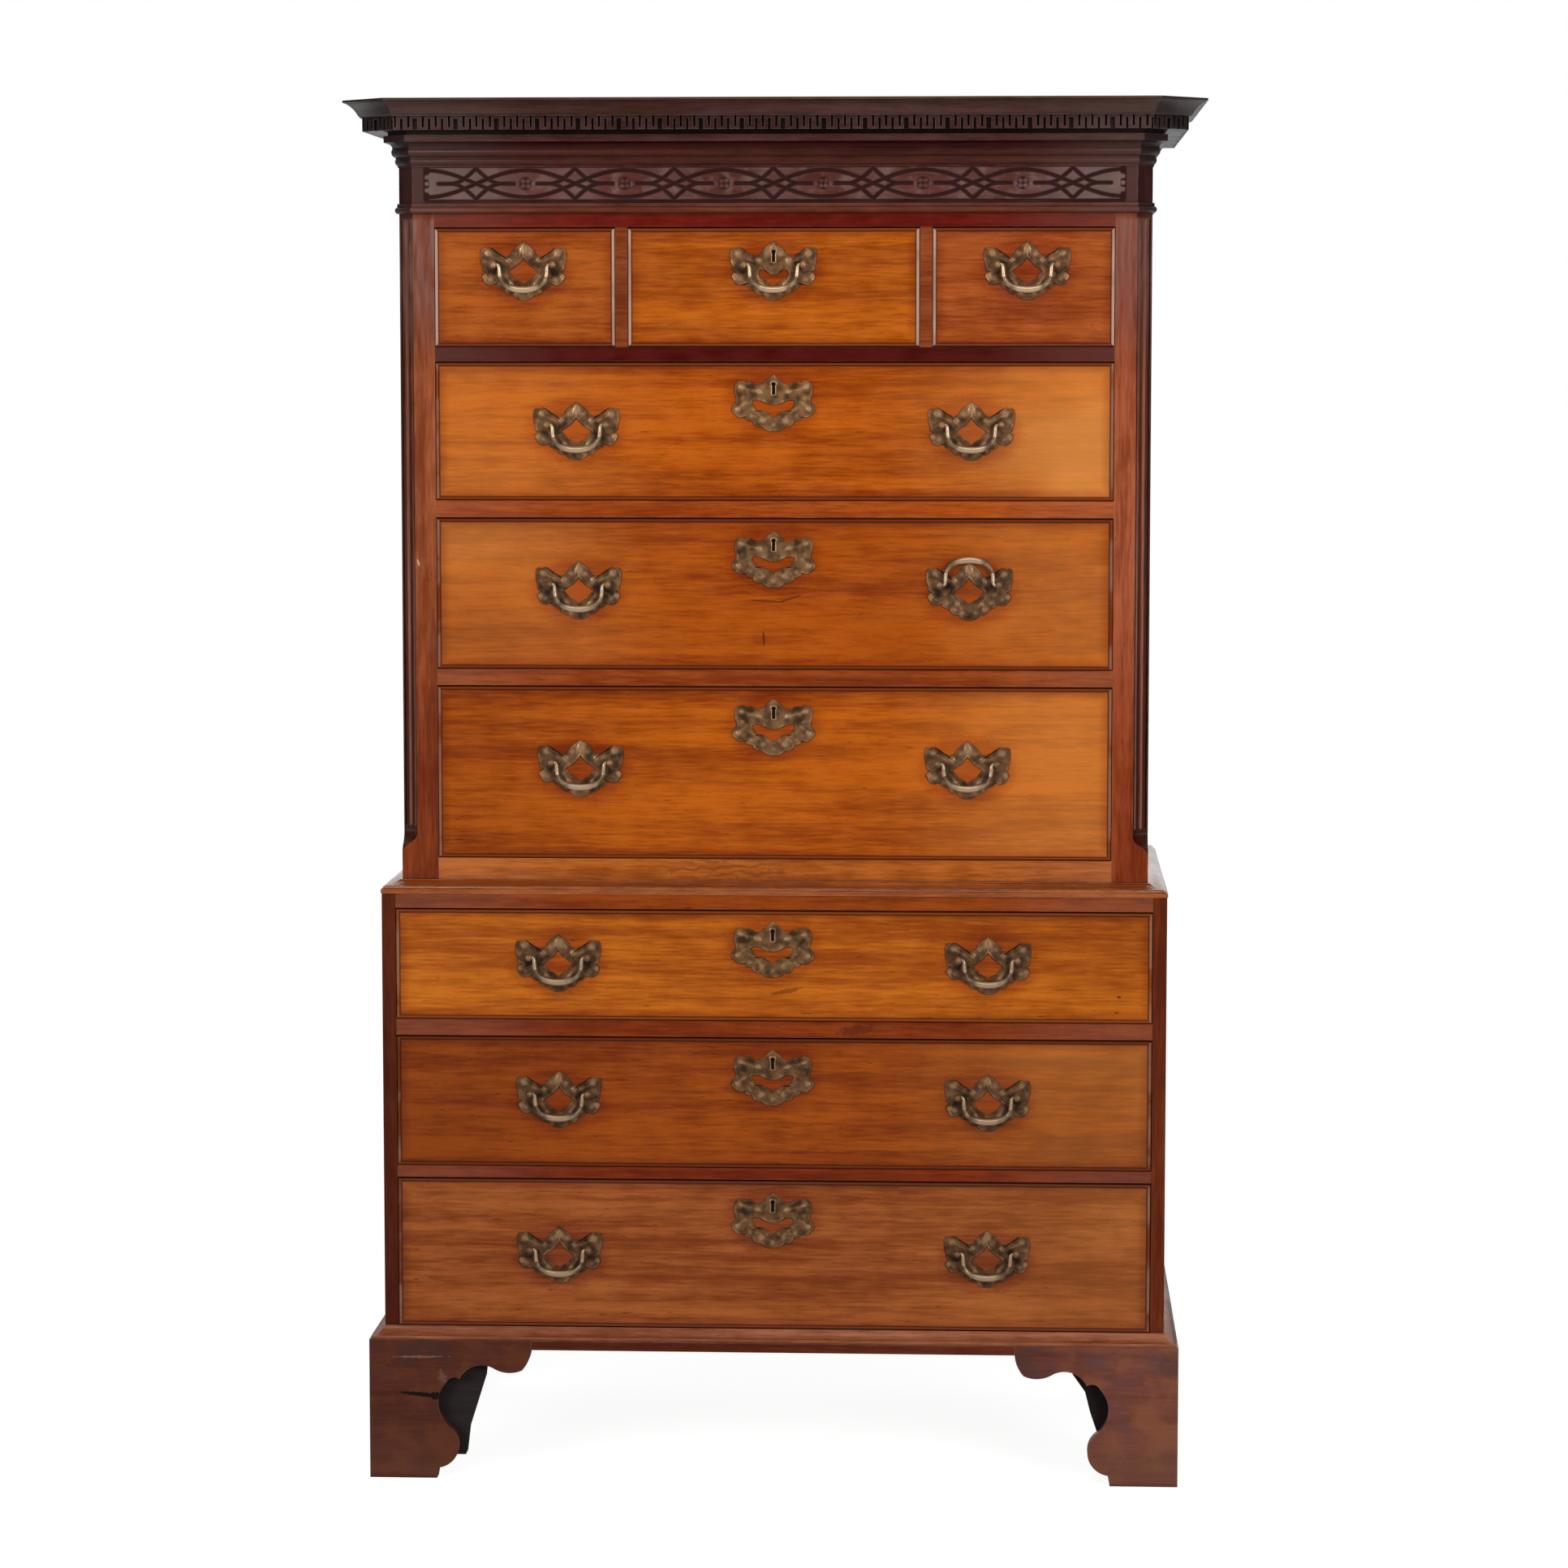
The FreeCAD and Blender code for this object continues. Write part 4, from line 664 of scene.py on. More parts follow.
def foot_marks(finish, colour):
    """Cloudy wear, a lighter right foot, and on the left one a crack, a pale scratch and a worn spot."""
    clouds = finish.noise(finish.place, (26.0, 20.0, 30.0), 4.0, 14.0)
    colour = finish.blend(finish.ramp(clouds, 0.46, 0.64, 0.0, 0.7), colour, PALE_CLOUD)
    colour = finish.blend(finish.ramp(clouds, 0.46, 0.32, 0.0, 0.6), colour, DARK_CLOUD)
    colour = finish.tinted(finish.rightwards(200.0, 500.0), colour, RIGHT_FOOT_TINT)
    low = finish.times(finish.upwards(90.0, 10.0), finish.rightwards(-200.0, 300.0, 0.25, 0.6))
    colour = finish.blend(low, colour, SCUFFED_FOOT)
    colour = finish.marked(colour, [GREY_CORNER])
    crack = finish.arithmetic("MAXIMUM", finish.spot(*CRACK_THIN_END), finish.spot(*CRACK_WIDE_END))
    colour = finish.blend(crack, colour, CRACK)
    return finish.marked(colour, [PALE_SCRATCH, RUBBED_SPOT])


foot = case_mahogany(
    "foot mahogany", (0.088, 0.022, 0.011),
    "round", (0.26, 0.16, 0.12), wear=0.7, dirt_and_shade=0.8, seed=13.0, contrast=0.6, marks=foot_marks)
dress("bracket_feet", foot, 0.5)
print("feet dressed")

# %% [markdown]
# ## Oak linings and pine insides
# Nobody polished the inside.  Drawer boxes are thin oak, and the backs, dust boards and
# blocks are pine, grey-brown with dust; the blocks behind the feet are painted nearly black
# as the shade under the chest, darkest on the right.  They need grain and dirt but no polish.
# A back is several boards side by side, so the width is cut into equal strips, each with a
# shade of its own and a dark line where it meets the next.

# %% Oak and pine
BACK_BOARDS = 3
JOINT = (0.012, 0.008, 0.006)
JOINT_EDGES = (0.0022, 0.0008)
BOARD_TINT = (0.72, 0.74, 0.80)
DUST_TINT = (0.6, 0.62, 0.68)
RIGHT_BLOCK_SHADE_TINT = (0.45, 0.30, 0.30)


def joined_boards(finish, colour, half, count):
    """Boards side by side across the width: each its own shade, a dark line at every joint."""
    place = finish.arithmetic("MULTIPLY_ADD", finish.x, count / (2 * half), count / 2)
    board = finish.arithmetic("FLOOR", place)
    own = finish.add("ShaderNodeTexWhiteNoise", {"W": board}, noise_dimensions="1D").outputs[0]
    colour = finish.tinted(own, colour, BOARD_TINT)
    from_joint = finish.minus(place, finish.arithmetic("ROUND", place))
    from_joint = finish.times(finish.size(from_joint), 2 * half / count)
    return finish.blend(finish.ramp(from_joint, *JOINT_EDGES), colour, JOINT)


def plain_wood(name, tone, grain, seed, roughness, contrast=0.8, right=None, half=None):
    """Unpolished board: grain, pores and dust, no polish; half is half the width of joined boards."""
    finish = Finish(name, specular=0.25)
    shade, pores, height, mottle = figure(finish, grain_frame(finish, grain), seed)
    colour = mahogany_colour(finish, tone, shade, pores, contrast)
    dust_and_sheen = finish.ramp(finish.noise(finish.place, (7.0, 7.0, 7.0), 4.0, seed + 6), 0.42, 0.68)
    colour = finish.blend(finish.times(dust_and_sheen, 0.35), colour, scaled(tone, DUST_TINT))
    if right:
        colour = finish.tinted(finish.right_half(), colour, right)
    if half:
        colour = joined_boards(finish, colour, half, BACK_BOARDS)
    rough = sheen(finish, mottle, roughness, roughness + 0.12)
    return finish.done(colour, rough, height, strength=0.4, distance=0.0005)


oak = plain_wood("oak lining", (0.33, 0.19, 0.09), "round", 20.0, 0.6)
pine = plain_wood("pine board", (0.26, 0.155, 0.08), "across", 21.0, 0.68)
upper_pine = plain_wood("upper pine back", (0.22, 0.13, 0.07), "upright", 22.0, 0.7,
                        half=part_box("upper_back")[1].x)
lower_pine = plain_wood("lower pine back", (0.20, 0.12, 0.065), "upright", 24.0, 0.7,
                        half=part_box("lower_back")[1].x)
# Painted shade: the blocks behind the feet are nearly black, darker still on the right.
shaded_block_wood = plain_wood("dark pine block", (0.022, 0.016, 0.014), "across", 23.0, 0.75, 0.6,
                        right=RIGHT_BLOCK_SHADE_TINT)
dress("upper_inner_boards", pine)
dress("lower_inner_boards", pine)
dress("upper_back", upper_pine)
dress("lower_back", lower_pine)
dress("foot_blocks", shaded_block_wood, 0.6)
print("inside dressed")

# %% [markdown]
# ## The drawers in one table
# Each drawer front gets a finish of its own, because each was cut from its own board.  The
# table gives a tone, the middle of the keyhole in millimetres above the floor, and how much
# painted sheen, or painted shade where negative, lies towards the left and the right end.
# Where the handles are comes from the hinges of the imported model.

# %% Drawer table
DRAWERS = {
    "short_drawer_left": ((0.355, 0.073, 0.006), None, 0.02, 0.0),
    "short_drawer_middle": ((0.445, 0.096, 0.003), 1627.5, 0.0, 0.0),
    "short_drawer_right": ((0.367, 0.074, 0.010), None, 0.0, 0.03),
    "upper_drawer_1": ((0.415, 0.078, 0.0012), 1454.5, 0.18, 0.46),
    "upper_drawer_2": ((0.352, 0.062, 0.0010), 1249.0, 0.25, 0.18),
    "upper_drawer_3": ((0.405, 0.079, 0.0012), 1027.0, -0.35, 0.25),
    "lower_drawer_1": ((0.455, 0.107, 0.0035), 733.5, 0.03, -0.15),
    "lower_drawer_2": ((0.284, 0.052, 0.0015), 562.0, -0.42, 0.24),
    "lower_drawer_3": ((0.300, 0.074, 0.0130), 370.0, 0.0, 0.15),
}
PIVOT_OUT = 8.0
BEAD_PROUD = 2.2


def handles_of(drawer):
    """Name, x and z in mm of every bail of a drawer, and the angles it may turn through."""
    found = []
    for joint in frame["joints"]:
        if joint["parent"] == drawer and joint["type"] == "hinge":
            x, _, z = joint["pos_m"]
            found.append((joint["child"], x / MM, z / MM, joint["range_deg"]))
    return found


fronts = {}
for drawer in DRAWERS:
    low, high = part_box(drawer + "_front")
    fronts[drawer] = (low.x, high.x, low.z, high.z, low.y / MM + BEAD_PROUD)
print(len(fronts), "drawer fronts,", sum(len(handles_of(d)) for d in DRAWERS), "bails")

# %% [markdown]
# ## Painted sheen at the ends and dark brasses
# The ends of a drawer front carry an uneven painted sheen, or painted shade where the table
# asks for it.  The wood round the brasses is darker, because polish and metal polish gather
# there and a duster never reaches it.  Both follow from the distance to the end and to each
# brass, so they are sums of masks, not images.

# %% Painted sheen at the ends, and halos
PAINTED_FRONT_END_SHEEN = (0.88, 0.345, 0.075)
PAINTED_FRONT_END_SHADE_TINT = (0.5, 0.4, 0.4)
HALO_TINT = (0.70, 0.50, 0.55)
HANDLE_HALO = (66.0, 47.0)
KEYHOLE_HALO = (64.0, 47.0)
HANDLE_DROP = 8.0
KEYHOLE_DROP = 17.0


def painted_light_at_ends(finish, colour, cloudy, from_middle, half_wide, end_light):
    """Painted sheen, or painted shade where the amount is negative, from a quarter of the way to either
    end.
    """
    for side, amount in zip((-1, 1), end_light):
        along = finish.times(from_middle, side / half_wide)
        towards_end = finish.ramp(along, 0.25, 0.9, 0.0, abs(amount))
        patchy = finish.times(towards_end, finish.ramp(cloudy, 0.35, 0.6, 0.6, 1.2))
        if amount < 0:
            colour = finish.tinted(patchy, colour, PAINTED_FRONT_END_SHADE_TINT)
        elif amount:
            colour = finish.blend(patchy, colour, PAINTED_FRONT_END_SHEEN)
    return colour


def brass_halos(finish, colour, drawer, keyhole):
    """Darker oval round every handle plate and round the keyhole plate."""
    handles = handles_of(drawer)
    places = [(x, z - HANDLE_DROP, *HANDLE_HALO) for _, x, z, _ in handles]
    if keyhole and len(handles) > 1:
        x0, x1 = fronts[drawer][:2]
        places.append(((x0 + x1) / 2 / MM, keyhole - KEYHOLE_DROP, *KEYHOLE_HALO))
    for place in places:
        halo = finish.times(finish.spot(*place, 0.0, 0.10), 0.75)
        colour = finish.tinted(halo, colour, HALO_TINT)
    return colour


print("halo of a handle, mm:", HANDLE_HALO)

# %% [markdown]
# ## Drawer fronts
# Cockbeads are thin strips round the edge of a front; the board is darkened with grime and
# painted shade in the inner corner beside them, and the gap outside them is painted black as
# shade.  They lose their dark polish on the crest, most of all on the upright beads of the
# short drawers.  Bead and board are one node, so the distance to the edge tells them apart.

# %% Drawer front finish
PALE_BEAD = (0.50, 0.30, 0.21)
BEAD_TINT = (0.5, 0.42, 0.8)
GRIME_AND_SHADE_LINE = (0.018, 0.006, 0.003)
CLOUD_TINT = (0.75, 0.65, 0.6)
SHADE_TINT = (0.62, 0.45, 0.5)
BEAD_THICK = 0.004
SHORT_HALF = 0.3
DENT = (0.10, 0.02, 0.006)
MARKS = {
    "upper_drawer_2": [(DENT, 0.75, (-8.0, 1174.5, 24.0, 1.6, -3.0, 0.1)),
                       (DENT, 0.75, (22.0, 1178.0, 17.0, 1.5, 18.0, 0.1)),
                       (DENT, 0.9, (-13.0, 1125.0, 1.6, 10.0, 4.0, 0.1))],
    "lower_drawer_1": [(DENT, 0.6, (18.0, 659.0, 24.0, 3.0, 12.0)),
                       (DENT, 0.9, (458.0, 654.0, 3.0, 1.6)),
                       (DENT, 0.9, (455.0, 633.0, 3.0, 1.2))],
}


def bead_colour(finish, tone, inside_x, inside_z, short, seed):
    """Cockbead: dark, pale where the upright beads are worn, and painted black along its outer edge as
    shade in the gap.
    """
    patchy = finish.ramp(finish.noise(finish.place, (18.0, 18.0, 18.0), 3.0, seed + 8), 0.36, 0.6)
    upright = finish.ramp(finish.minus(inside_x, inside_z), 0.001, -0.001)
    least, most = (0.7, 1.0) if short else (0.0, 0.3)
    worn = finish.times(upright, finish.ramp(patchy, 0.0, 1.0, least, most))
    colour = finish.blend(worn, scaled(tone, BEAD_TINT), PALE_BEAD)
    # Painted shade in the gap along the bead's outer edge.
    outer = finish.times(finish.ramp(inside_z, 0.0016, 0.0006), 0.8)
    return finish.blend(outer, colour, GRIME_AND_SHADE_LINE)


def front_finish(drawer, tone, keyhole, end_light, seed):
    """Polished board with cockbeads, dark wood round the brasses and its own marks."""
    finish = polished(drawer + " mahogany")
    shade, pores, height, mottle = figure(finish, grain_frame(finish, "across"), seed)
    colour = mahogany_colour(finish, tone, shade, pores)
    cloudy = finish.noise(finish.place, (3.5, 1.0, 6.0), 3.0, seed + 7)
    colour = finish.tinted(finish.ramp(cloudy, 0.48, 0.30, 0.0, 0.45), colour, CLOUD_TINT)

    x0, x1, z0, z1, _ = fronts[drawer]
    half_wide, half_high = (x1 - x0) / 2, (z1 - z0) / 2
    from_middle = finish.minus(finish.x, (x0 + x1) / 2)
    from_centre = finish.size(finish.minus(finish.z, (z0 + z1) / 2))
    inside_x = finish.minus(half_wide, finish.size(from_middle))
    inside_z = finish.minus(half_high, from_centre)
    depth = finish.arithmetic("MINIMUM", inside_x, inside_z)

    # Painted sheen towards the ends, or painted shade where the table gives a negative amount.
    colour = painted_light_at_ends(finish, colour, cloudy, from_middle, half_wide, end_light)
    colour = brass_halos(finish, colour, drawer, keyhole)
    colour = finish.tinted(finish.ramp(depth, 0.020, 0.005, 0.0, 0.6), colour, SHADE_TINT)
    colour = finish.marked(colour, MARKS.get(drawer, ()))
    # Grime and painted shade in the corner inside the bead.
    grime_and_shade_line = finish.ramp(depth, BEAD_THICK + 0.0022, BEAD_THICK + 0.0006)
    colour = finish.blend(finish.times(grime_and_shade_line, 0.75), colour, GRIME_AND_SHADE_LINE)
    bead = bead_colour(finish, tone, inside_x, inside_z, half_wide < SHORT_HALF, seed)
    colour = finish.blend(finish.ramp(depth, BEAD_THICK + 0.0003, BEAD_THICK - 0.0002), colour, bead)
    rough = sheen(finish, mottle, *WAXED_ROUGHNESS)
    return finish.done(colour, rough, height, strength=0.22, distance=0.0004)


for number, (drawer, (tone, keyhole, *end_light)) in enumerate(DRAWERS.items()):
    polish = front_finish(drawer, tone, keyhole, end_light, 30.0 + 11.3 * number)
    dress(drawer + "_front", polish)
    dress(drawer + "_box", oak)
print(len(DRAWERS), "drawers dressed")

# %% [markdown]
# ## Surfaces from numbers
# The brasses and the fret are surfaces over a grid: one array holds x, y and z of every
# point, in millimetres, worked out at once.  A grid may close on itself in one or both
# directions.  Where a row shrinks to a point, merging doubles turns it into a clean pole.

# %% Surfaces from numbers
DOUBLES = 1e-6
SHARP_ANGLE = 35.0


def grid_faces(rows, columns, wrap_rows, wrap_columns):
    """Four corners of every cell of a grid: cell (i, j) joins i, i + 1 and j, j + 1, wrapped."""
    i = np.arange(rows if wrap_rows else rows - 1)
    j = np.arange(columns if wrap_columns else columns - 1)
    i, j = (index.ravel() for index in np.meshgrid(i, j, indexing="ij"))
    i_next, j_next = (i + 1) % rows, (j + 1) % columns
    corners = [i * columns + j, i_next * columns + j, i_next * columns + j_next, i * columns + j_next]
    return np.column_stack(corners)


def sheets_mesh(name, sheets, attributes):
    """Mesh of closed sheets (points in mm, wrap rows, wrap columns) with numbers for its points."""
    points, faces, start = [], [], 0
    for grid, wrap_rows, wrap_columns in sheets:
        rows, columns = grid.shape[:2]
        points.append(grid.reshape(-1, 3) * MM)
        faces.append(grid_faces(rows, columns, wrap_rows, wrap_columns) + start)
        start += rows * columns
    points, faces = np.vstack(points), np.vstack(faces)
    mesh = bpy.data.meshes.new(name)
    mesh.vertices.add(len(points))
    mesh.vertices.foreach_set("co", points.astype(np.float32).ravel())
    mesh.loops.add(faces.size)
    mesh.loops.foreach_set("vertex_index", faces.astype(np.int32).ravel())
    mesh.polygons.add(len(faces))
    mesh.polygons.foreach_set("loop_start", np.arange(0, faces.size, 4, dtype=np.int32))
    mesh.update(calc_edges=True)
    for attribute, values in attributes.items():
        layer = mesh.attributes.new(attribute, "FLOAT", "POINT")
        layer.data.foreach_set("value", np.asarray(values, np.float32).ravel())
    return mesh


def surface_piece(name, sheets, material, body, replaced, attributes):
    """One object of closed sheets: doubles merged, faces outwards, riding its body."""
    mesh = sheets_mesh(name, sheets, attributes)
    shape = bmesh.new()
    shape.from_mesh(mesh)
    bmesh.ops.remove_doubles(shape, verts=shape.verts, dist=DOUBLES)
    bmesh.ops.recalc_face_normals(shape, faces=shape.faces)
    shape.to_mesh(mesh)
    shape.free()
    mesh.shade_smooth()
    mesh.set_sharp_from_angle(angle=math.radians(SHARP_ANGLE))
    mesh.materials.append(material)
    piece = bpy.data.objects.new(name, mesh)
    bpy.context.scene.collection.objects.link(piece)
    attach(piece, body)
    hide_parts(replaced)


print("surface tools ready")

# %% [markdown]
# ## Lines of the fret
# A blind fret is sawn from a thin board and glued on the frieze, so its pattern stands on a
# solid ground.  Waving lines cross every 130 mm, and shorter lines make diamonds round each
# crossing.  Each strip could be a mesh of its own, but one height over a fine grid needs
# only the distance to the nearest sawn line, which gives the drop and the dark colour of
# dirt and painted shade at once.

# %% Lines of the fret
PITCH = 130.3
WAVE_RISE = 17.5
DIAMOND_RISE = 20.0
DIAMOND_HALF = 33.0
NOTCH_HALF = 50.0
WAVE_REACH = (-10.0, 75.0)
PARTS = 24


def distance_to(outline, x, z):
    """Distance of every grid point to the nearest point of an outline, taken part by part."""
    flat = np.column_stack([x.ravel(), z.ravel()])
    nearest = np.full(len(flat), np.inf)
    for part in np.array_split(outline, PARTS):
        away = ((flat[:, None, :] - part[None]) ** 2).sum(-1).min(1)
        nearest = np.minimum(nearest, away)
    return np.sqrt(nearest).reshape(x.shape)


def hill(distance, width):
    """Bell curve: 1 at distance 0, about a third at the width, next to nothing at twice that."""
    return np.exp(-(distance / width) ** 2)


def fret_lines():
    """Points along the sawn lines near one crossing, for x and z of 0 or more.

    Two waves, rise times the sine of pi x over the pitch, and two sides of a diamond, rise
    times 1 minus the sine of a quarter turn over the diamond's half; a straight line runs on
    from the diamond's corner.
    """
    x = np.linspace(*WAVE_REACH, 170)
    wave = WAVE_RISE * np.sin(np.pi * x / PITCH)
    near = np.linspace(-DIAMOND_HALF, DIAMOND_HALF, 132)
    diamond = DIAMOND_RISE * (1 - np.sin(np.pi / 2 * np.abs(near) / DIAMOND_HALF))
    middle = np.linspace(DIAMOND_HALF, NOTCH_HALF, 34)
    lines = [(x, wave), (x, -wave), (near, diamond), (near, -diamond), (middle, middle * 0)]
    return np.concatenate([np.column_stack(line) for line in lines])


print(len(fret_lines()), "points along the lines of one crossing")

# %% [markdown]
# ## Flowers, ends and the sheet of the fret
# A small flower sits in every long oval, and a scalloped field with three beads closes
# either end.  Centuries of wax have rounded the strips into little cushions, so every edge
# is a bell curve and none is a step.  A flat back and two poles close the sheet.

# %% Surface of the fret
fret_low, fret_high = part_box("frieze_fret")
SAW_WIDTH = 2.6
FLOWER_RADIUS = 9.5
RING_RADIUS = 9.0
RING_WIDTH = 1.3
PETAL_OUT = 3.3
PETAL_WIDTH = 2.6
FLOWERED_HALF = 3 * PITCH
END_BEAD_PITCH = 8.5
END_BEAD_IN = 4.2
END_BEAD_WIDTH = 3.2
FRET_SKIN = 0.05
FRET_DROP = 1.85
FRET_COLUMNS = 1315
FRET_ROWS = 62


def fret_depth(x, across, half):
    """How deep in a sawn line every point lies, from 0 on a cushion to 1 on the ground.

    A line is a hill across the distance to it.  In a flower's circle four petals stand on a
    low ground with a faint ring round it, and at the ends three beads stand in a low field.
    """
    from_crossing = np.abs(x - PITCH * np.round(x / PITCH))
    away = distance_to(fret_lines(), from_crossing, np.abs(across))
    sawn = np.clip(hill(away, SAW_WIDTH) * 1.15, 0, 1)

    to_flower = np.hypot(from_crossing - PITCH / 2, across)
    has_flower = np.abs(x) < FLOWERED_HALF
    inside = has_flower * np.clip((FLOWER_RADIUS - to_flower) / 2.0, 0, 1)
    petal_x = np.abs(from_crossing - PITCH / 2) - PETAL_OUT
    petals = hill(np.hypot(petal_x, np.abs(across) - PETAL_OUT), PETAL_WIDTH)
    sawn = sawn * (1 - inside) + inside * np.clip(0.8 - petals * 1.2, 0, 0.7)
    sawn = np.maximum(sawn, has_flower * hill(to_flower - RING_RADIUS, RING_WIDTH) * 0.35)

    from_end = half - np.abs(x)
    hollow = 9.0 - 3.0 * hill(np.abs(across) - END_BEAD_PITCH, 5.0)
    at_end = np.clip((hollow - from_end) / 1.5, 0, 1)
    bead_z = across - END_BEAD_PITCH * np.clip(np.round(across / END_BEAD_PITCH), -1, 1)
    beads = hill(np.hypot(from_end - END_BEAD_IN, bead_z), END_BEAD_WIDTH)
    return sawn * (1 - at_end) + at_end * np.clip(1 - beads * 1.4, 0, 0.8)


def fret_surface():
    """Closed sheet of the whole fret in mm, y growing with the depth, and the depth itself."""
    half = fret_high.x / MM
    x_line = np.linspace(-half, half, FRET_COLUMNS)
    z_line = np.linspace(fret_low.z, fret_high.z, FRET_ROWS) / MM
    x, z = np.meshgrid(x_line, z_line, indexing="ij")
    edge = np.minimum(z_line[-1] - z, z - z_line[0])
    sawn = np.maximum(fret_depth(x, z - z_line.mean(), half), hill(edge, 1.0) * 0.6)
    y = fret_low.y / MM + FRET_SKIN + FRET_DROP * sawn

    back = np.full((len(x_line), 1), fret_high.y / MM)
    y = np.concatenate([back, y, back], 1)
    x, z, sawn = (np.concatenate([part[:, :1], part, part[:, -1:]], 1) for part in (x, z, sawn))
    grid = np.stack([x, y, z], -1)
    cap = np.array([(end, fret_high.y / MM, z_line.mean()) for end in (-half, half)])
    caps = np.broadcast_to(cap[:, None, :], (2, grid.shape[1], 3))
    grid = np.concatenate([caps[:1], grid, caps[1:]])
    sawn = np.concatenate([sawn[:1], sawn, sawn[-1:]])
    return grid, sawn


fret_grid, fret_sawn = fret_surface()
print("fret grid", fret_grid.shape)

# %% [markdown]
# ## Finish of the fret
# Dirt fills the sawn lines, which are also painted dark as shade, and the cushions are a dull
# red, greyer round the crossings, paler towards both ends and dusty in patches.  The mesh
# carries the depth of every point, so the dark lines follow the shape exactly, however fine
# the grid is.

# %% Finish of the fret
FRET_RED = (0.108, 0.027, 0.020)
FRET_GREY = (0.130, 0.053, 0.045)
FRET_END = (0.165, 0.108, 0.096)
FRET_DUST = (0.20, 0.115, 0.098)
FRET_GROUND_DIRT_AND_SHADE = (0.027, 0.0050, 0.0028)
FRET_ROUGHNESS = (0.38, 0.50)


def fret_finish():
    """Dirt and painted shade in the sawn lines, red in the ovals, greyer round the crossings and towards
    the ends.
    """
    finish = polished("fret mahogany", coat=0.1)
    shade, pores, height, mottle = figure(finish, grain_frame(finish, "across"), 5.0)
    turn = finish.times(finish.x, 2 * math.pi / (PITCH * MM))
    crossing = finish.ramp(finish.arithmetic("COSINE", turn), -0.5, 0.7)
    colour = mahogany_colour(finish, finish.blend(crossing, FRET_RED, FRET_GREY), shade, pores, 0.7)
    colour = finish.blend(finish.outwards(280.0, 440.0, 0.0, 0.8), colour, FRET_END)
    dust_and_sheen = finish.ramp(finish.noise(finish.place, (45.0, 45.0, 45.0), 3.0, 6.0), 0.45, 0.7, 0.0, 0.6)
    colour = finish.blend(dust_and_sheen, colour, FRET_DUST)
    # Dirt and painted shade in the sawn lines.
    colour = finish.blend(finish.ramp(finish.carried("sawn"), 0.02, 0.75), colour, FRET_GROUND_DIRT_AND_SHADE)
    rough = sheen(finish, mottle, *FRET_ROUGHNESS)
    return finish.done(colour, rough, height, strength=0.25, distance=0.0004)


surface_piece("blind_fret", [(fret_grid, False, True)], fret_finish(), "upper_chest", "frieze_fret",
              {"sawn": fret_sawn})
print("fret made")

# %% [markdown]
# ## Old brass
# The plates were cast, filed and lacquered.  Most of the lacquer is gone: the hollows are
# nearly black, the raised parts are a dull brown gold, and the belly of each bail, which
# fingers polish every day, is bright.  The metal shader gives the glint; occlusion and an
# attribute that the mesh carries decide where it is dark and where it is bright.

# %% Old brass
CLOUD_WAVES = (90.0, 90.0, 90.0)
PIT_WAVES = (600.0, 600.0, 600.0)
CLOUDED_TINT = (0.6, 0.6, 0.62)
HIGH_BRASS_PAINTED_SHEEN = (1.2, 1.17, 1.12)
LOW_BRASS_PAINTED_SHADE = (0.85, 0.82, 0.80)
PAINTED_KEYHOLE_SHADE = (0.004, 0.003, 0.003)


def old_brass(name, hollow, flat, bright, roughness, seed):
    """Patinated brass between three tones, by hollows, raised parts and wear; painted sheen high up,
    painted shade low down, black painted shade in a keyhole.
    """
    finish = Finish(name, metallic=0.5, specular=0.25)
    wear = finish.carried("wear")
    clouds = finish.noise(finish.place, CLOUD_WAVES, 4.0, seed)
    pits = finish.noise(finish.place, PIT_WAVES, 2.0, seed + 1)
    colour = finish.blend(finish.ramp(clouds, 0.35, 0.65), scaled(flat, CLOUDED_TINT), flat)
    colour = finish.blend(finish.ramp(pits, 0.55, 0.75, 0.0, 0.5), colour, hollow)
    uneven = finish.arithmetic("MULTIPLY_ADD", finish.minus(clouds, 0.5), 1.3, wear)
    colour = finish.blend(finish.ramp(uneven, 0.12, -0.42), colour, hollow)
    raised = finish.ramp(uneven, 0.08, 0.85)
    colour = finish.blend(raised, colour, bright)
    # Painted sheen on the brasses high up, painted shade on those low down.
    colour = finish.tinted(finish.upwards(1320.0, 1450.0), colour, HIGH_BRASS_PAINTED_SHEEN)
    colour = finish.tinted(finish.upwards(850.0, 600.0), colour, LOW_BRASS_PAINTED_SHADE)
    corner = finish.times(finish.ramp(finish.crevice(0.004), 0.85, 0.35), 0.85)
    colour = finish.blend(corner, colour, hollow)
    # Painted shade: black at the floor and inner walls of a keyhole.
    colour = finish.blend(finish.ramp(wear, -0.3, -0.8), colour, PAINTED_KEYHOLE_SHADE)
    rough = finish.ramp(raised, 0.0, 1.0, roughness, roughness - 0.16)
    return finish.done(colour, rough, finish.plus(clouds, pits), strength=0.35, distance=0.0003)


plate_brass = old_brass(
    "dark plate brass", hollow=(0.020, 0.010, 0.005), flat=(0.185, 0.090, 0.040),
    bright=(0.42, 0.240, 0.120), roughness=0.48, seed=60.0)
olive_brass = old_brass(
    "olive plate brass", hollow=(0.05, 0.026, 0.010), flat=(0.235, 0.115, 0.046),
    bright=(0.46, 0.27, 0.135), roughness=0.5, seed=61.0)
bail_brass = old_brass(
    "handled brass", hollow=(0.05, 0.032, 0.018), flat=(0.24, 0.155, 0.090),
    bright=(0.60, 0.43, 0.27), roughness=0.42, seed=62.0)
print("brasses mixed")

# %% [markdown]
# ## Plate outlines
# A back plate is a flat casting with a pointed outline and a pierced middle.  Its right half
# is a chain of short curves between points and nicks, in millimetres from the bail's axis or
# from the middle of the keyhole; the left half is its mirror image.  Each run goes smoothly
# through its points, and the next run starts where it ends, so corners fall between runs.

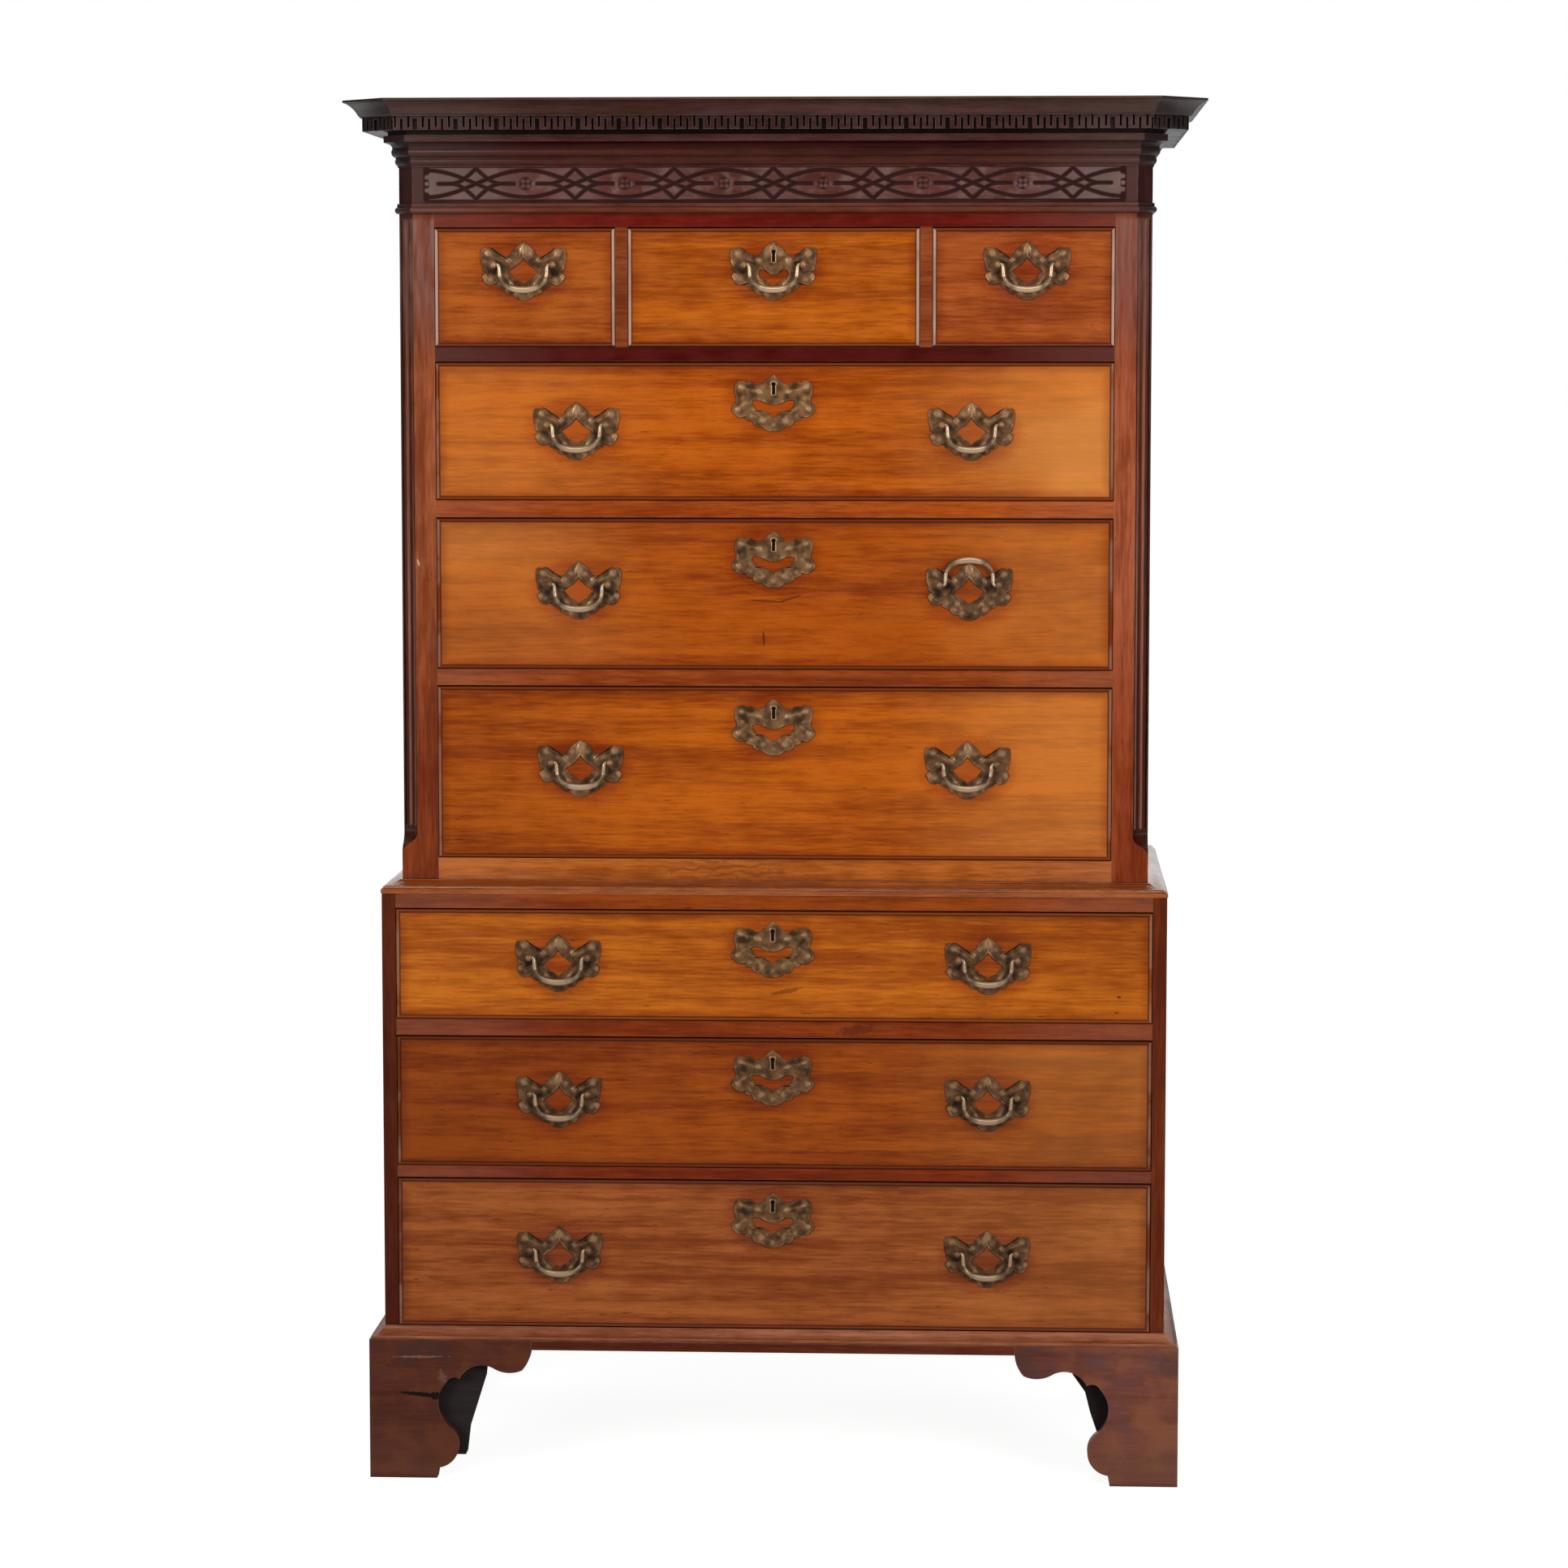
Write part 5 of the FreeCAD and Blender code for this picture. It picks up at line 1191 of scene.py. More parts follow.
# %% Plate outlines
HANDLE_OUTLINE = [
    [(0, 30.5), (5, 27), (10.5, 22.5), (15.5, 17)], [(15.5, 17), (19, 12.5), (25, 11.5), (30, 14)],
    [(30, 14), (35, 16), (39, 19.5)], [(39, 19.5), (44, 22.5), (49, 21)], [(49, 21), (52.5, 22), (56, 20)],
    [(56, 20), (57, 9), (54.5, -2)], [(54.5, -2), (54, -7), (49, -9.5)], [(49, -9.5), (55, -14), (53, -20)],
    [(53, -20), (47, -26.5), (37, -25)], [(37, -25), (33, -30), (26, -32)],
    [(26, -32), (22.5, -38), (14.5, -39.5)], [(14.5, -39.5), (9, -44.5), (0, -46.5)],
]
HANDLE_OPENING = [
    [(0, 9), (4, 3.5), (9, -1.5)], [(9, -1.5), (14, -4.5), (20, -9)],
    [(20, -9), (15.5, -13), (12, -18.5)], [(12, -18.5), (6, -21), (0, -26)],
]
LOCK_OPENING = [
    [(0, -13.5), (4.5, -12.8), (9, -8.7)], [(9, -8.7), (14, -6.5), (18.5, -8.5)],
    [(18.5, -8.5), (19, -13), (15.5, -19)], [(15.5, -19), (10, -20.5), (7, -24)],
    [(7, -24), (3.5, -25), (0, -28)],
]
SHIELD_OUTLINE = [
    [(0, 18.5), (5, 14.5), (10, 10.5), (14, 6.5)], [(14, 6.5), (19, 4.5), (25, 5.5)],
    [(25, 5.5), (30, 8.5), (36, 7.5)], [(36, 7.5), (43, 10), (50, 6)], [(50, 6), (52, -3), (50, -12)],
    [(50, -12), (49.5, -17), (53, -21.5)], [(53, -21.5), (55.5, -28), (51, -34)],
    [(51, -34), (45, -38.5), (38, -37.5)], [(38, -37.5), (35, -41.5), (28, -43)],
    [(28, -43), (24, -49.5), (15.5, -50.5)], [(15.5, -50.5), (9, -55.5), (0, -56.5)],
]
SHIELD_OPENING = [
    [(0, -22), (7, -21.3), (15, -17.6), (28, -17)], [(28, -17), (25, -24.5), (19.5, -30)],
    [(19.5, -30), (12.5, -29.5), (8, -33)], [(8, -33), (3.5, -35), (0, -39.5)],
]


def smooth_run(points, steps):
    """Polynomial through the points, its parameter growing with the length of the chords."""
    points = np.array(points, float)
    chords = np.hypot(*np.diff(points, axis=0).T)
    along = np.concatenate([[0.0], np.cumsum(chords)])
    at = np.linspace(0, along[-1], steps, endpoint=False)
    degree = len(points) - 1
    return np.column_stack([np.polyval(np.polyfit(along, column, degree), at) for column in points.T])


def closed_outline(runs, steps):
    """Right half from its top point down, then the same points mirrored back up."""
    right = np.vstack([smooth_run(run, steps) for run in runs] + [[runs[-1][-1]]])
    return np.vstack([right, right[-2:0:-1] * (-1, 1)])


def around(outline, centre, angles):
    """Distance from the centre to the outline at each angle, measured clockwise from the top."""
    dx, dz = (outline - centre).T
    bearing = np.arctan2(dx, dz) % (2 * np.pi)
    return np.interp(angles, bearing, np.hypot(dx, dz), period=2 * np.pi)


print(len(HANDLE_OUTLINE) * 2, "curves in the handle plate's outline")

# %% [markdown]
# ## Relief of the plates
# The founder's pattern was modelled in wax: scroll ends like knobs, lobes, and veins like
# ridges.  Sculpting them is possible, but a sum of hills, each a bell curve round a point or
# along a line, is short to write and mirrors itself when x is taken without its sign.

# %% Relief of the plates
HANDLE_KNOBS = [
    (20.0, 5.5, 3.6, 1.2), (45.5, 14.5, 4.4, 1.1), (51.0, -15.5, 3.8, 1.0), (43.5, -19.0, 3.4, 0.6),
    (20.0, -32.5, 3.6, 0.7), (8.5, -37.0, 3.6, 0.7), (0.0, 20.0, 5.0, 0.7), (33.0, -12.0, 2.8, 0.5),
    (16.5, -25.5, 3.0, 0.7), (29.0, -24.0, 3.0, 0.6), (39.0, 0.0, 7.0, 0.6), (30.5, 7.5, 3.6, 0.5),
    (10.0, 14.0, 3.4, 0.6), (51.0, 4.0, 2.8, 0.4),
]
HANDLE_RIDGES = [
    ((41.0, 11.0), (26.0, 4.0), 1.3, 0.35), ((0.0, 12.0), (0.0, 28.0), 0.9, 0.35),
    ((5.0, 12.0), (1.0, 26.0), 0.9, 0.3), ((23.0, -14.0), (10.0, -31.0), 1.5, 0.45),
]
SHIELD_KNOBS = [
    (20.0, -4.0, 3.2, 0.8), (43.0, 2.0, 3.8, 0.9), (47.0, -28.0, 3.6, 0.9), (41.0, -13.0, 3.0, 0.6),
    (30.0, -36.0, 3.2, 0.7), (15.0, -43.0, 3.6, 0.8), (0.0, -48.0, 3.4, 0.7), (34.0, -4.0, 2.6, 0.5),
    (12.0, -16.0, 2.6, 0.6), (23.0, -37.0, 2.2, 0.5), (8.0, -38.0, 2.2, 0.5),
]
SHIELD_RIDGES = [
    ((42.0, 1.0), (16.0, -6.0), 1.8, 0.6), ((36.0, -18.0), (48.0, -27.0), 1.7, 0.5),
    ((31.0, -25.0), (12.0, -41.0), 1.6, 0.5),
]


def knobs(x, z, places):
    """Sum of round hills: (x, z, radius, height) each, mirrored left and right."""
    places = np.array(places, float)
    dx = np.abs(x)[..., None] - places[:, 0]
    dz = z[..., None] - places[:, 1]
    return (places[:, 3] * np.exp(-(dx ** 2 + dz ** 2) / places[:, 2] ** 2)).sum(-1)


def ridge(x, z, start, end, width, height):
    """Raised line between two points, mirrored: a hill across the distance to the line."""
    start, end = np.array(start, float), np.array(end, float)
    run = end - start
    px, pz = np.abs(x) - start[0], z - start[1]
    t = np.clip((px * run[0] + pz * run[1]) / (run @ run), 0, 1)
    away = (px - t * run[0]) ** 2 + (pz - t * run[1]) ** 2
    return height * np.exp(-away / width ** 2)


def mound(x, z, middle_x, middle_z, width):
    """One round hill, 1 high, mirrored left and right."""
    return hill(np.hypot(np.abs(x) - middle_x, z - middle_z), width)


def relief(x, z, places, ridges):
    """Height of the knobs and the ridges together."""
    hills = knobs(x, z, places)
    for values in ridges:
        hills += ridge(x, z, *values)
    return hills


print(len(HANDLE_KNOBS) + len(HANDLE_RIDGES), "hills on half a handle plate")

# %% [markdown]
# ## Cast plates
# Seen from one point inside the piercing, every direction meets the edge of the opening once
# and the outline once.  So the plate is a ring: one parameter goes round, the other from the
# opening to the outline, with more rows near both edges, where the rim is rounded.

# %% Cast plates
OUTLINE_STEPS = 14
OPENING_STEPS = 10
RIM_STEPS = 40
PLATE_ROWS = 24
PLATE_BASE = 1.35
HILLS_IN = 2.0
RIM_IN = 1.15
RIM_WIDTH = 0.75
RIM_HEIGHT = 0.75
EDGE_ROUND = 0.8
TOP_LOBE = (0.0, 20.0, 9.0)
POCKETS = [(32.0, 3.0, 10.0), (40.0, -9.0, 6.0)]
FUNNEL_BED = 1.6
FUNNEL_BED_THICK = 0.12
KEYHOLE_HALF = 8.0
KEYHOLE_HEAD = 2.8
KEYHOLE_SLOT = 1.9


def keyhole_away(x, z):
    """Distance outside the keyhole, whose middle is the origin: the nearer of head and slot."""
    head = np.hypot(x, z - (KEYHOLE_HALF - KEYHOLE_HEAD)) - KEYHOLE_HEAD
    dx = np.abs(x) - KEYHOLE_SLOT
    dz = np.abs(z + KEYHOLE_HEAD / 2) - (KEYHOLE_HALF - KEYHOLE_HEAD / 2)
    slot = np.hypot(np.maximum(dx, 0), np.maximum(dz, 0)) + np.minimum(np.maximum(dx, dz), 0)
    return np.minimum(head, slot)


def ring_grid(outline_runs, opening_runs, centre):
    """x and z of a ring: inner edge plus a cosine step times the width, at every edge angle."""
    outline = closed_outline(outline_runs, OUTLINE_STEPS)
    opening = closed_outline(opening_runs, OPENING_STEPS)
    angles = [np.arctan2(*(edge - centre).T) % (2 * np.pi) for edge in (outline, opening)]
    angles = np.unique(np.round(np.concatenate(angles), 5))
    inner, outer = around(opening, centre, angles), around(outline, centre, angles)
    across = 0.5 - 0.5 * np.cos(np.linspace(0, np.pi, PLATE_ROWS))
    reach = inner + across[:, None] * (outer - inner)
    return centre[0] + reach * np.sin(angles), centre[1] + reach * np.cos(angles)


def cast_plate(outline_runs, opening_runs, centre, places, ridges, keyhole=None):
    """Closed ring of a plate: points in mm, y towards the viewer negative, and its wear.

    The thickness is base plus hills plus a bead along the rim, rounded down at the edge; the
    wear grows with hills, bead and the top lobe and falls in the pockets behind the posts.
    """
    x, z = ring_grid(outline_runs, opening_runs, centre)
    fine = np.vstack([closed_outline(runs, RIM_STEPS) for runs in (outline_runs, opening_runs)])
    rim = distance_to(fine, x, z)
    hills = relief(x, z, places, ridges) * np.clip(rim / HILLS_IN, 0, 1)
    bead = RIM_HEIGHT * hill(rim - RIM_IN, RIM_WIDTH)
    height = (PLATE_BASE + hills + bead) * np.sqrt(1 - (1 - np.clip(rim / EDGE_ROUND, 0, 1)) ** 2 * 0.75)
    lobe = mound(x, z, *TOP_LOBE)
    pocket = sum(mound(x, z, *place) for place in POCKETS)
    wear = np.clip(hills * 0.85 + bead * 0.35 + lobe * 0.35 - pocket * 0.32, -0.28, 1)
    if keyhole is not None:
        away = keyhole_away(x - keyhole[0], z - keyhole[1])
        height = np.where(away < FUNNEL_BED, FUNNEL_BED_THICK, height)
    face = np.stack([x, -height, z], -1)
    inner_back, outer_back = (face[row:row + 1] * (1.0, 0.0, 1.0) for row in (0, len(face) - 1))
    grid = np.concatenate([inner_back, face, outer_back])
    wear = np.concatenate([wear[:1] * 0, wear, wear[:1] * 0])
    return grid, wear


HANDLE_PLATE = cast_plate(HANDLE_OUTLINE, HANDLE_OPENING, (0.0, -8.5), HANDLE_KNOBS, HANDLE_RIDGES)
LOCK_PLATE = cast_plate(
    HANDLE_OUTLINE, LOCK_OPENING, (0.0, -18.0), HANDLE_KNOBS, HANDLE_RIDGES, keyhole=(0.0, 11.5))
SHIELD_PLATE = cast_plate(
    SHIELD_OUTLINE, SHIELD_OPENING, (0.0, -28.0), SHIELD_KNOBS, SHIELD_RIDGES, keyhole=(0.0, 0.0))
print("handle plate grid", HANDLE_PLATE[0].shape, "keyhole plate grid", SHIELD_PLATE[0].shape)

# %% [markdown]
# ## Keyhole funnel
# A keyhole plate has a small funnel with a raised lip, which guides the key.  It is a stack
# of rings, each the keyhole's outline grown a little, from the floor up over the lip and
# down the outer slope.  The wear is -1 at its floor and -0.5 up its inner walls, which the
# brass finish paints dark to black: painted shade inside the hole.

# %% Keyhole funnel
FUNNEL_STEPS = [(None, 0.20), (-0.35, 0.20), (0.0, 0.30), (0.0, 1.55), (0.35, 1.95), (0.95, 2.10),
                (1.6, 1.85), (2.3, 1.25), (2.3, 0.05), (None, 0.05)]
STEP_WEAR_AND_SHADE = [-1.0, -1.0, -1.0, -0.5, 0.5, 0.7, 0.4, 0.1, 0.0, 0.0]
SLOT_FOOT = 1.5
KEYHOLE_POINTS = 26


def keyhole_ring(grow):
    """Keyhole outline grown by so many mm: half width at each height, then mirrored."""
    z = KEYHOLE_HALF * np.cos(np.linspace(0.02, np.pi - 0.02, KEYHOLE_POINTS))
    head = np.sqrt(np.clip(KEYHOLE_HEAD ** 2 - (z - (KEYHOLE_HALF - KEYHOLE_HEAD)) ** 2, 0, None))
    slot = np.where(z < KEYHOLE_HALF - KEYHOLE_HEAD, KEYHOLE_SLOT, 0)
    into_foot = np.clip(-z - KEYHOLE_HALF + SLOT_FOOT, 0, None) / SLOT_FOOT
    foot = np.sqrt(np.clip(1 - into_foot ** 2, 0.05, 1))
    width = np.maximum(head, slot * foot) + grow
    right = np.column_stack([width, z * (KEYHOLE_HALF + grow) / KEYHOLE_HALF])
    return np.vstack([right, right[::-1] * (-1, 1)])


def keyhole_funnel():
    """Closed sheet of a keyhole, ring after ring; a step without growth is a pole."""
    rings = []
    for grow, level in FUNNEL_STEPS:
        ring = keyhole_ring(grow or 0.0) * (0.0 if grow is None else 1.0)
        rings.append(np.column_stack([ring[:, 0], np.full(len(ring), -level), ring[:, 1]]))
    return np.stack(rings), np.repeat(STEP_WEAR_AND_SHADE, len(rings[0]))


FUNNEL, FUNNEL_WEAR_AND_SHADE = keyhole_funnel()
print("keyhole funnel grid", FUNNEL.shape)

# %% [markdown]
# ## Turned work
# Posts and nuts are turned: a profile of (place along the axis, radius) carried round the
# axis.  A square nut or a lock case is the same idea with a radius that follows a rounded
# square, so one function makes them all.

# %% Turned work
POST_OUT = 39.0
BALL_RADIUS = 5.0
BALL_MOUTH = 36.9
BORE_PROFILE = [(1.9, 0.0), (1.9, 2.05), (-4.0, 2.05), (-4.0, 2.7)]
STEM_PROFILE = [(-PIVOT_OUT + 3.5, 0.0), (-PIVOT_OUT + 3.5, 2.6), (-3.6, 3.0), (-3.0, 4.0), (-2.2, 4.6),
                (-1.2, 4.9), (0.4, 4.9), (0.4, 2.5), (23.4, 2.5), (24.0, 1.9), (24.0, 0.0)]
NUT_PROFILE = [(20.0, 0.0), (20.0, 4.6), (20.4, 5.0), (22.6, 5.0), (23.0, 4.6), (23.0, 0.0)]
LOCK_PROFILE = [(9.0, 0.0), (9.0, 1.0), (20.6, 1.0), (21.0, 0.98), (21.0, 0.0)]
LOCK_HALF = (29.0, 1.0, 20.0)


def turned(profile, centre, axis, count=24, squareness=0.0):
    """Profile of (along, radius) carried round the x or y axis through centre.

    The radius is divided by the larger of cosine and sine to the power of squareness, which
    turns the circle towards a square.
    """
    profile = np.array(profile, float)
    angle = np.arange(count) * 2 * np.pi / count
    swell = 1 / np.maximum(np.abs(np.cos(angle)), np.abs(np.sin(angle))) ** squareness
    u = profile[:, 1:] * (np.cos(angle) * swell)
    v = profile[:, 1:] * (np.sin(angle) * swell)
    along = np.repeat(profile[:, :1], count, 1)
    parts = (along, u, v) if axis == "x" else (u, along, v)
    return np.stack(parts, -1) + np.array(centre, float)


def post_sheets(x, z, y, side):
    """Ball, bolt with collar, and nut of one post; the ball is bored on its inner side for the bail."""
    polar = np.radians(np.linspace(BALL_MOUTH, 180, 15))
    ball = np.column_stack([-BALL_RADIUS * np.cos(polar), BALL_RADIUS * np.sin(polar)])
    profile = np.vstack([BORE_PROFILE, ball]) * (side, 1)
    return [
        turned(profile, (x, y - PIVOT_OUT, z), "x"),
        turned(STEM_PROFILE, (x, y, z), "y", 20),
        turned(NUT_PROFILE, (x, y, z), "y", 32, 0.9),
    ]


def fit(grid, x, y, z):
    """A sheet moved to its place."""
    return grid + np.array((x, y, z))


print("a post has", len(post_sheets(0.0, 0.0, 0.0, 1)), "sheets")

# %% [markdown]
# ## The brasses of every drawer
# A long drawer has two handles and a keyhole plate between them.  The middle short drawer
# has one handle whose own plate has the keyhole, and its two neighbours have no lock.  Plate
# and posts stay separate pieces, as on the bench of a brass founder.

# %% The brasses of every drawer
POST_WEAR = 0.45
LOCK_WEAR = 0.1


def brass_piece(name, drawer, sheets, wear, material):
    """One piece of brass on a drawer: its sheets, and the wear of all their points in a row."""
    attributes = {"wear": np.concatenate(wear)}
    surface_piece(name, sheets, material, drawer, drawer + "_brass", attributes)


def even_wear(sheet, wear):
    """The same wear for every point of a sheet."""
    return np.full(sheet.shape[0] * sheet.shape[1], wear)


def handle_plates(drawer, keyhole, y):
    """A plate for every handle; a single handle with a lock has the keyhole in its plate."""
    handles = handles_of(drawer)
    shared = keyhole is not None and len(handles) == 1
    grid, wear = LOCK_PLATE if shared else HANDLE_PLATE
    for child, x, z, _ in handles:
        sheets, worn = [(fit(grid, x, y, z), True, True)], [wear.ravel()]
        if shared:
            sheets.append((fit(FUNNEL, x, y, keyhole), False, True))
            worn.append(FUNNEL_WEAR_AND_SHADE)
        brass_piece(child.replace("_bail", "") + "_plate", drawer, sheets, worn, plate_brass)


def handle_posts(drawer, y):
    """Two posts for every handle, all in one piece."""
    sheets = []
    for _, x, z, _ in handles_of(drawer):
        for side in (1, -1):
            sheets += post_sheets(x + side * POST_OUT, z, y, side)
    worn = [even_wear(sheet, POST_WEAR) for sheet in sheets]
    brass_piece(drawer + "_posts", drawer, [(sheet, False, True) for sheet in sheets], worn, plate_brass)


def keyhole_plate(drawer, keyhole, x, y):
    """The wide plate in the middle of a long drawer, with its funnel."""
    grid, wear = SHIELD_PLATE
    sheets = [(fit(grid, x, y, keyhole), True, True), (fit(FUNNEL, x, y, keyhole), False, True)]
    brass_piece(drawer + "_keyhole_plate", drawer, sheets, [wear.ravel(), FUNNEL_WEAR_AND_SHADE], olive_brass)


def lock_case(drawer, keyhole, x, y):
    """The case of the lock, let into the back of the front."""
    block = turned(LOCK_PROFILE, (0, 0, 0), "y", 32, 0.95) * LOCK_HALF
    sheets = [(fit(block, x, y, keyhole), False, True)]
    brass_piece(drawer + "_lock", drawer, sheets, [even_wear(block, LOCK_WEAR)], plate_brass)


for drawer, (_, keyhole, *_) in DRAWERS.items():
    x0, x1, _, _, y = fronts[drawer]
    middle = (x0 + x1) / 2 / MM
    handle_plates(drawer, keyhole, y)
    handle_posts(drawer, y)
    if keyhole is not None and len(handles_of(drawer)) > 1:
        keyhole_plate(drawer, keyhole, middle, y)
    if keyhole is not None:
        lock_case(drawer, keyhole, middle, y)
print("plates, posts and locks made")

# %% [markdown]
# ## Bails
# A swan-neck bail is a rod bent into a deep curve: thin at the pins, thick at the belly.
# A tube is a circle carried along a curve.  Both the curve and the radius pass smoothly
# through a list of stations, and the circle stands square to the curve everywhere.

# %% Bails
STATIONS = [
    (40.5, 0, 2.0), (36.5, 0, 2.0), (34.5, 0, 2.0), (33.2, -0.5, 2.1), (32, -2.2, 2.3), (31.4, -6, 2.5),
    (31, -12, 2.6), (29.6, -18.5, 2.8), (25.6, -24.8, 3.1), (18.5, -29.6, 3.6), (9.5, -32.2, 4.1),
]
BELLY = (0.0, -33.0, 4.3)
BELLY_HALF = 17.0
BELLY_TOP = -20.0
BEND_OUT = 29.0
BEND_FOOT = -16.0
SPAN_STEPS = 6
ROUND = 20


def through(points, steps):
    """Catmull-Rom curve: each span is a cubic that leaves and arrives along its neighbours."""
    points = np.array(points, float)
    padded = np.vstack([2 * points[0] - points[1], points, 2 * points[-1] - points[-2]])
    p0, p1, p2, p3 = (padded[k:len(padded) - 3 + k, None] for k in range(4))
    t = (np.arange(steps) / steps)[None, :, None]
    spans = 0.5 * (2 * p1 + (p2 - p0) * t + (2 * p0 - 5 * p1 + 4 * p2 - p3) * t ** 2
                   + (3 * p1 - p0 - 3 * p2 + p3) * t ** 3)
    return np.vstack([spans.reshape(-1, points.shape[1]), points[-1:]])


def bail_tube(turn):
    """Tube round the bail's curve, turned about its pins by so many degrees, and its wear.

    A point is the curve plus radius times (cosine square to the curve, sine outwards); wear
    is a hill over the belly and a band at the bends, where fingers rub.
    """
    half = np.array(STATIONS, float)
    stations = np.vstack([half, [BELLY], half[::-1] * (-1, 1, 1)])
    curve = through(stations, SPAN_STEPS)
    x, z, radius = curve.T
    tangent = np.gradient(curve[:, :2], axis=0)
    tangent /= np.linalg.norm(tangent, axis=1)[:, None]
    angle = np.arange(ROUND) * 2 * np.pi / ROUND
    side = radius[:, None] * np.cos(angle)
    out = radius[:, None] * np.sin(angle)
    grid = np.stack([x[:, None] - tangent[:, 1:] * side, out, z[:, None] + tangent[:, :1] * side], -1)
    ends = np.stack([grid[0].mean(0) + grid[0] * 0, grid[-1].mean(0) + grid[-1] * 0])
    grid = np.concatenate([ends[:1], grid, ends[1:]])
    belly = hill(x, BELLY_HALF) * (z < BELLY_TOP)
    bends = 0.55 * (np.abs(x) > BEND_OUT) * (z > BEND_FOOT)
    wear = np.concatenate([[0], np.clip(belly + bends + 0.15, 0, 1), [0]])[:, None] + 0 * grid[..., 0]
    c, s = math.cos(math.radians(turn)), math.sin(math.radians(turn))
    y, z = grid[..., 1], grid[..., 2]
    return np.stack([grid[..., 0], y * c + z * s, z * c - y * s], -1), wear


for drawer in DRAWERS:
    y = fronts[drawer][4]
    for child, x, z, (low_angle, high_angle) in handles_of(drawer):
        raised = high_angle <= 0
        grid, wear = bail_tube(-low_angle if raised else 0.0)
        tube = (fit(grid, x, y - PIVOT_OUT, z), False, True)
        surface_piece(child + "_rod", [tube], bail_brass, child, child, {"wear": wear})
print("bails made")

# %% [markdown]
# ## The world
# A plain room with soft light and a white surround.  The camera sees pure white, but white
# all round would wash out every polished board.  So the light the world gives is dimmer, and
# reflections see white only above the floor and behind the chest, as polish does in a studio
# whose front is dim.

# %% World
WORLD_LIGHT = 0.28
DIM_FRONT = 0.03

scene = bpy.context.scene
world = bpy.data.worlds.new("studio")
scene.world = world
world.use_nodes = True
bench = Bench(world.node_tree)
rays = bench.add("ShaderNodeLightPath").outputs
_, backwards, upwards = bench.split(bench.add("ShaderNodeTexCoord").outputs["Generated"])
behind = bench.ramp(backwards, 0.3, 0.85, DIM_FRONT, 1.0)
above_floor = bench.ramp(upwards, -0.04, 0.0, way="LINEAR")
mirrored = bench.arithmetic("MAXIMUM", rays["Is Glossy Ray"], rays["Is Transmission Ray"])
strength = bench.mix(mirrored, WORLD_LIGHT, bench.times(behind, above_floor))
strength = bench.mix(rays["Is Camera Ray"], strength, 1.0)
background = bench.add("ShaderNodeBackground", {"Color": (1.0, 1.0, 1.0), "Strength": strength})
surface = bench.add("ShaderNodeOutputWorld")
bench.tree.links.new(background.outputs[0], surface.inputs["Surface"])
world.cycles.sampling_method = "NONE"
print("world ready")

# %% [markdown]
# ## The floor
# A pale floor that fades into the white surround.  The camera sees it glow a little, so it
# ends in white with only the soft shadow of the chest on it.  Light bounces from a plain
# grey floor instead, and polish sees the glow only well behind the chest, because a bright
# floor in front would shine in every moulding.

# %% Floor
FLOOR_HALF = 14.0
FLOOR_LINES = 13
FLOOR_GAP = 0.0005

floor_finish = bpy.data.materials.new("pale floor")
floor_finish.use_nodes = True
bench = Bench(floor_finish.node_tree)
rays = bench.add("ShaderNodeLightPath").outputs
lit = bench.add("ShaderNodeBsdfDiffuse", {"Color": (0.40, 0.40, 0.40)})
glow = bench.add("ShaderNodeEmission", {"Color": (0.90, 0.90, 0.90), "Strength": 1.0})
both = bench.add("ShaderNodeAddShader", {0: lit.outputs[0], 1: glow.outputs[0]})
plain = bench.add("ShaderNodeBsdfDiffuse", {"Color": (0.62, 0.62, 0.62)})
_, backwards, _ = bench.split(bench.add("ShaderNodeTexCoord").outputs["Object"])
glossy = bench.times(rays["Is Glossy Ray"], bench.ramp(backwards, 0.4, 1.5, way="LINEAR"))
seen = bench.arithmetic("MAXIMUM", rays["Is Camera Ray"], glossy)
shown = bench.add("ShaderNodeMixShader", {0: seen, 1: plain.outputs[0], 2: both.outputs[0]})
output = bench.add("ShaderNodeOutputMaterial")
bench.tree.links.new(shown.outputs[0], output.inputs["Surface"])

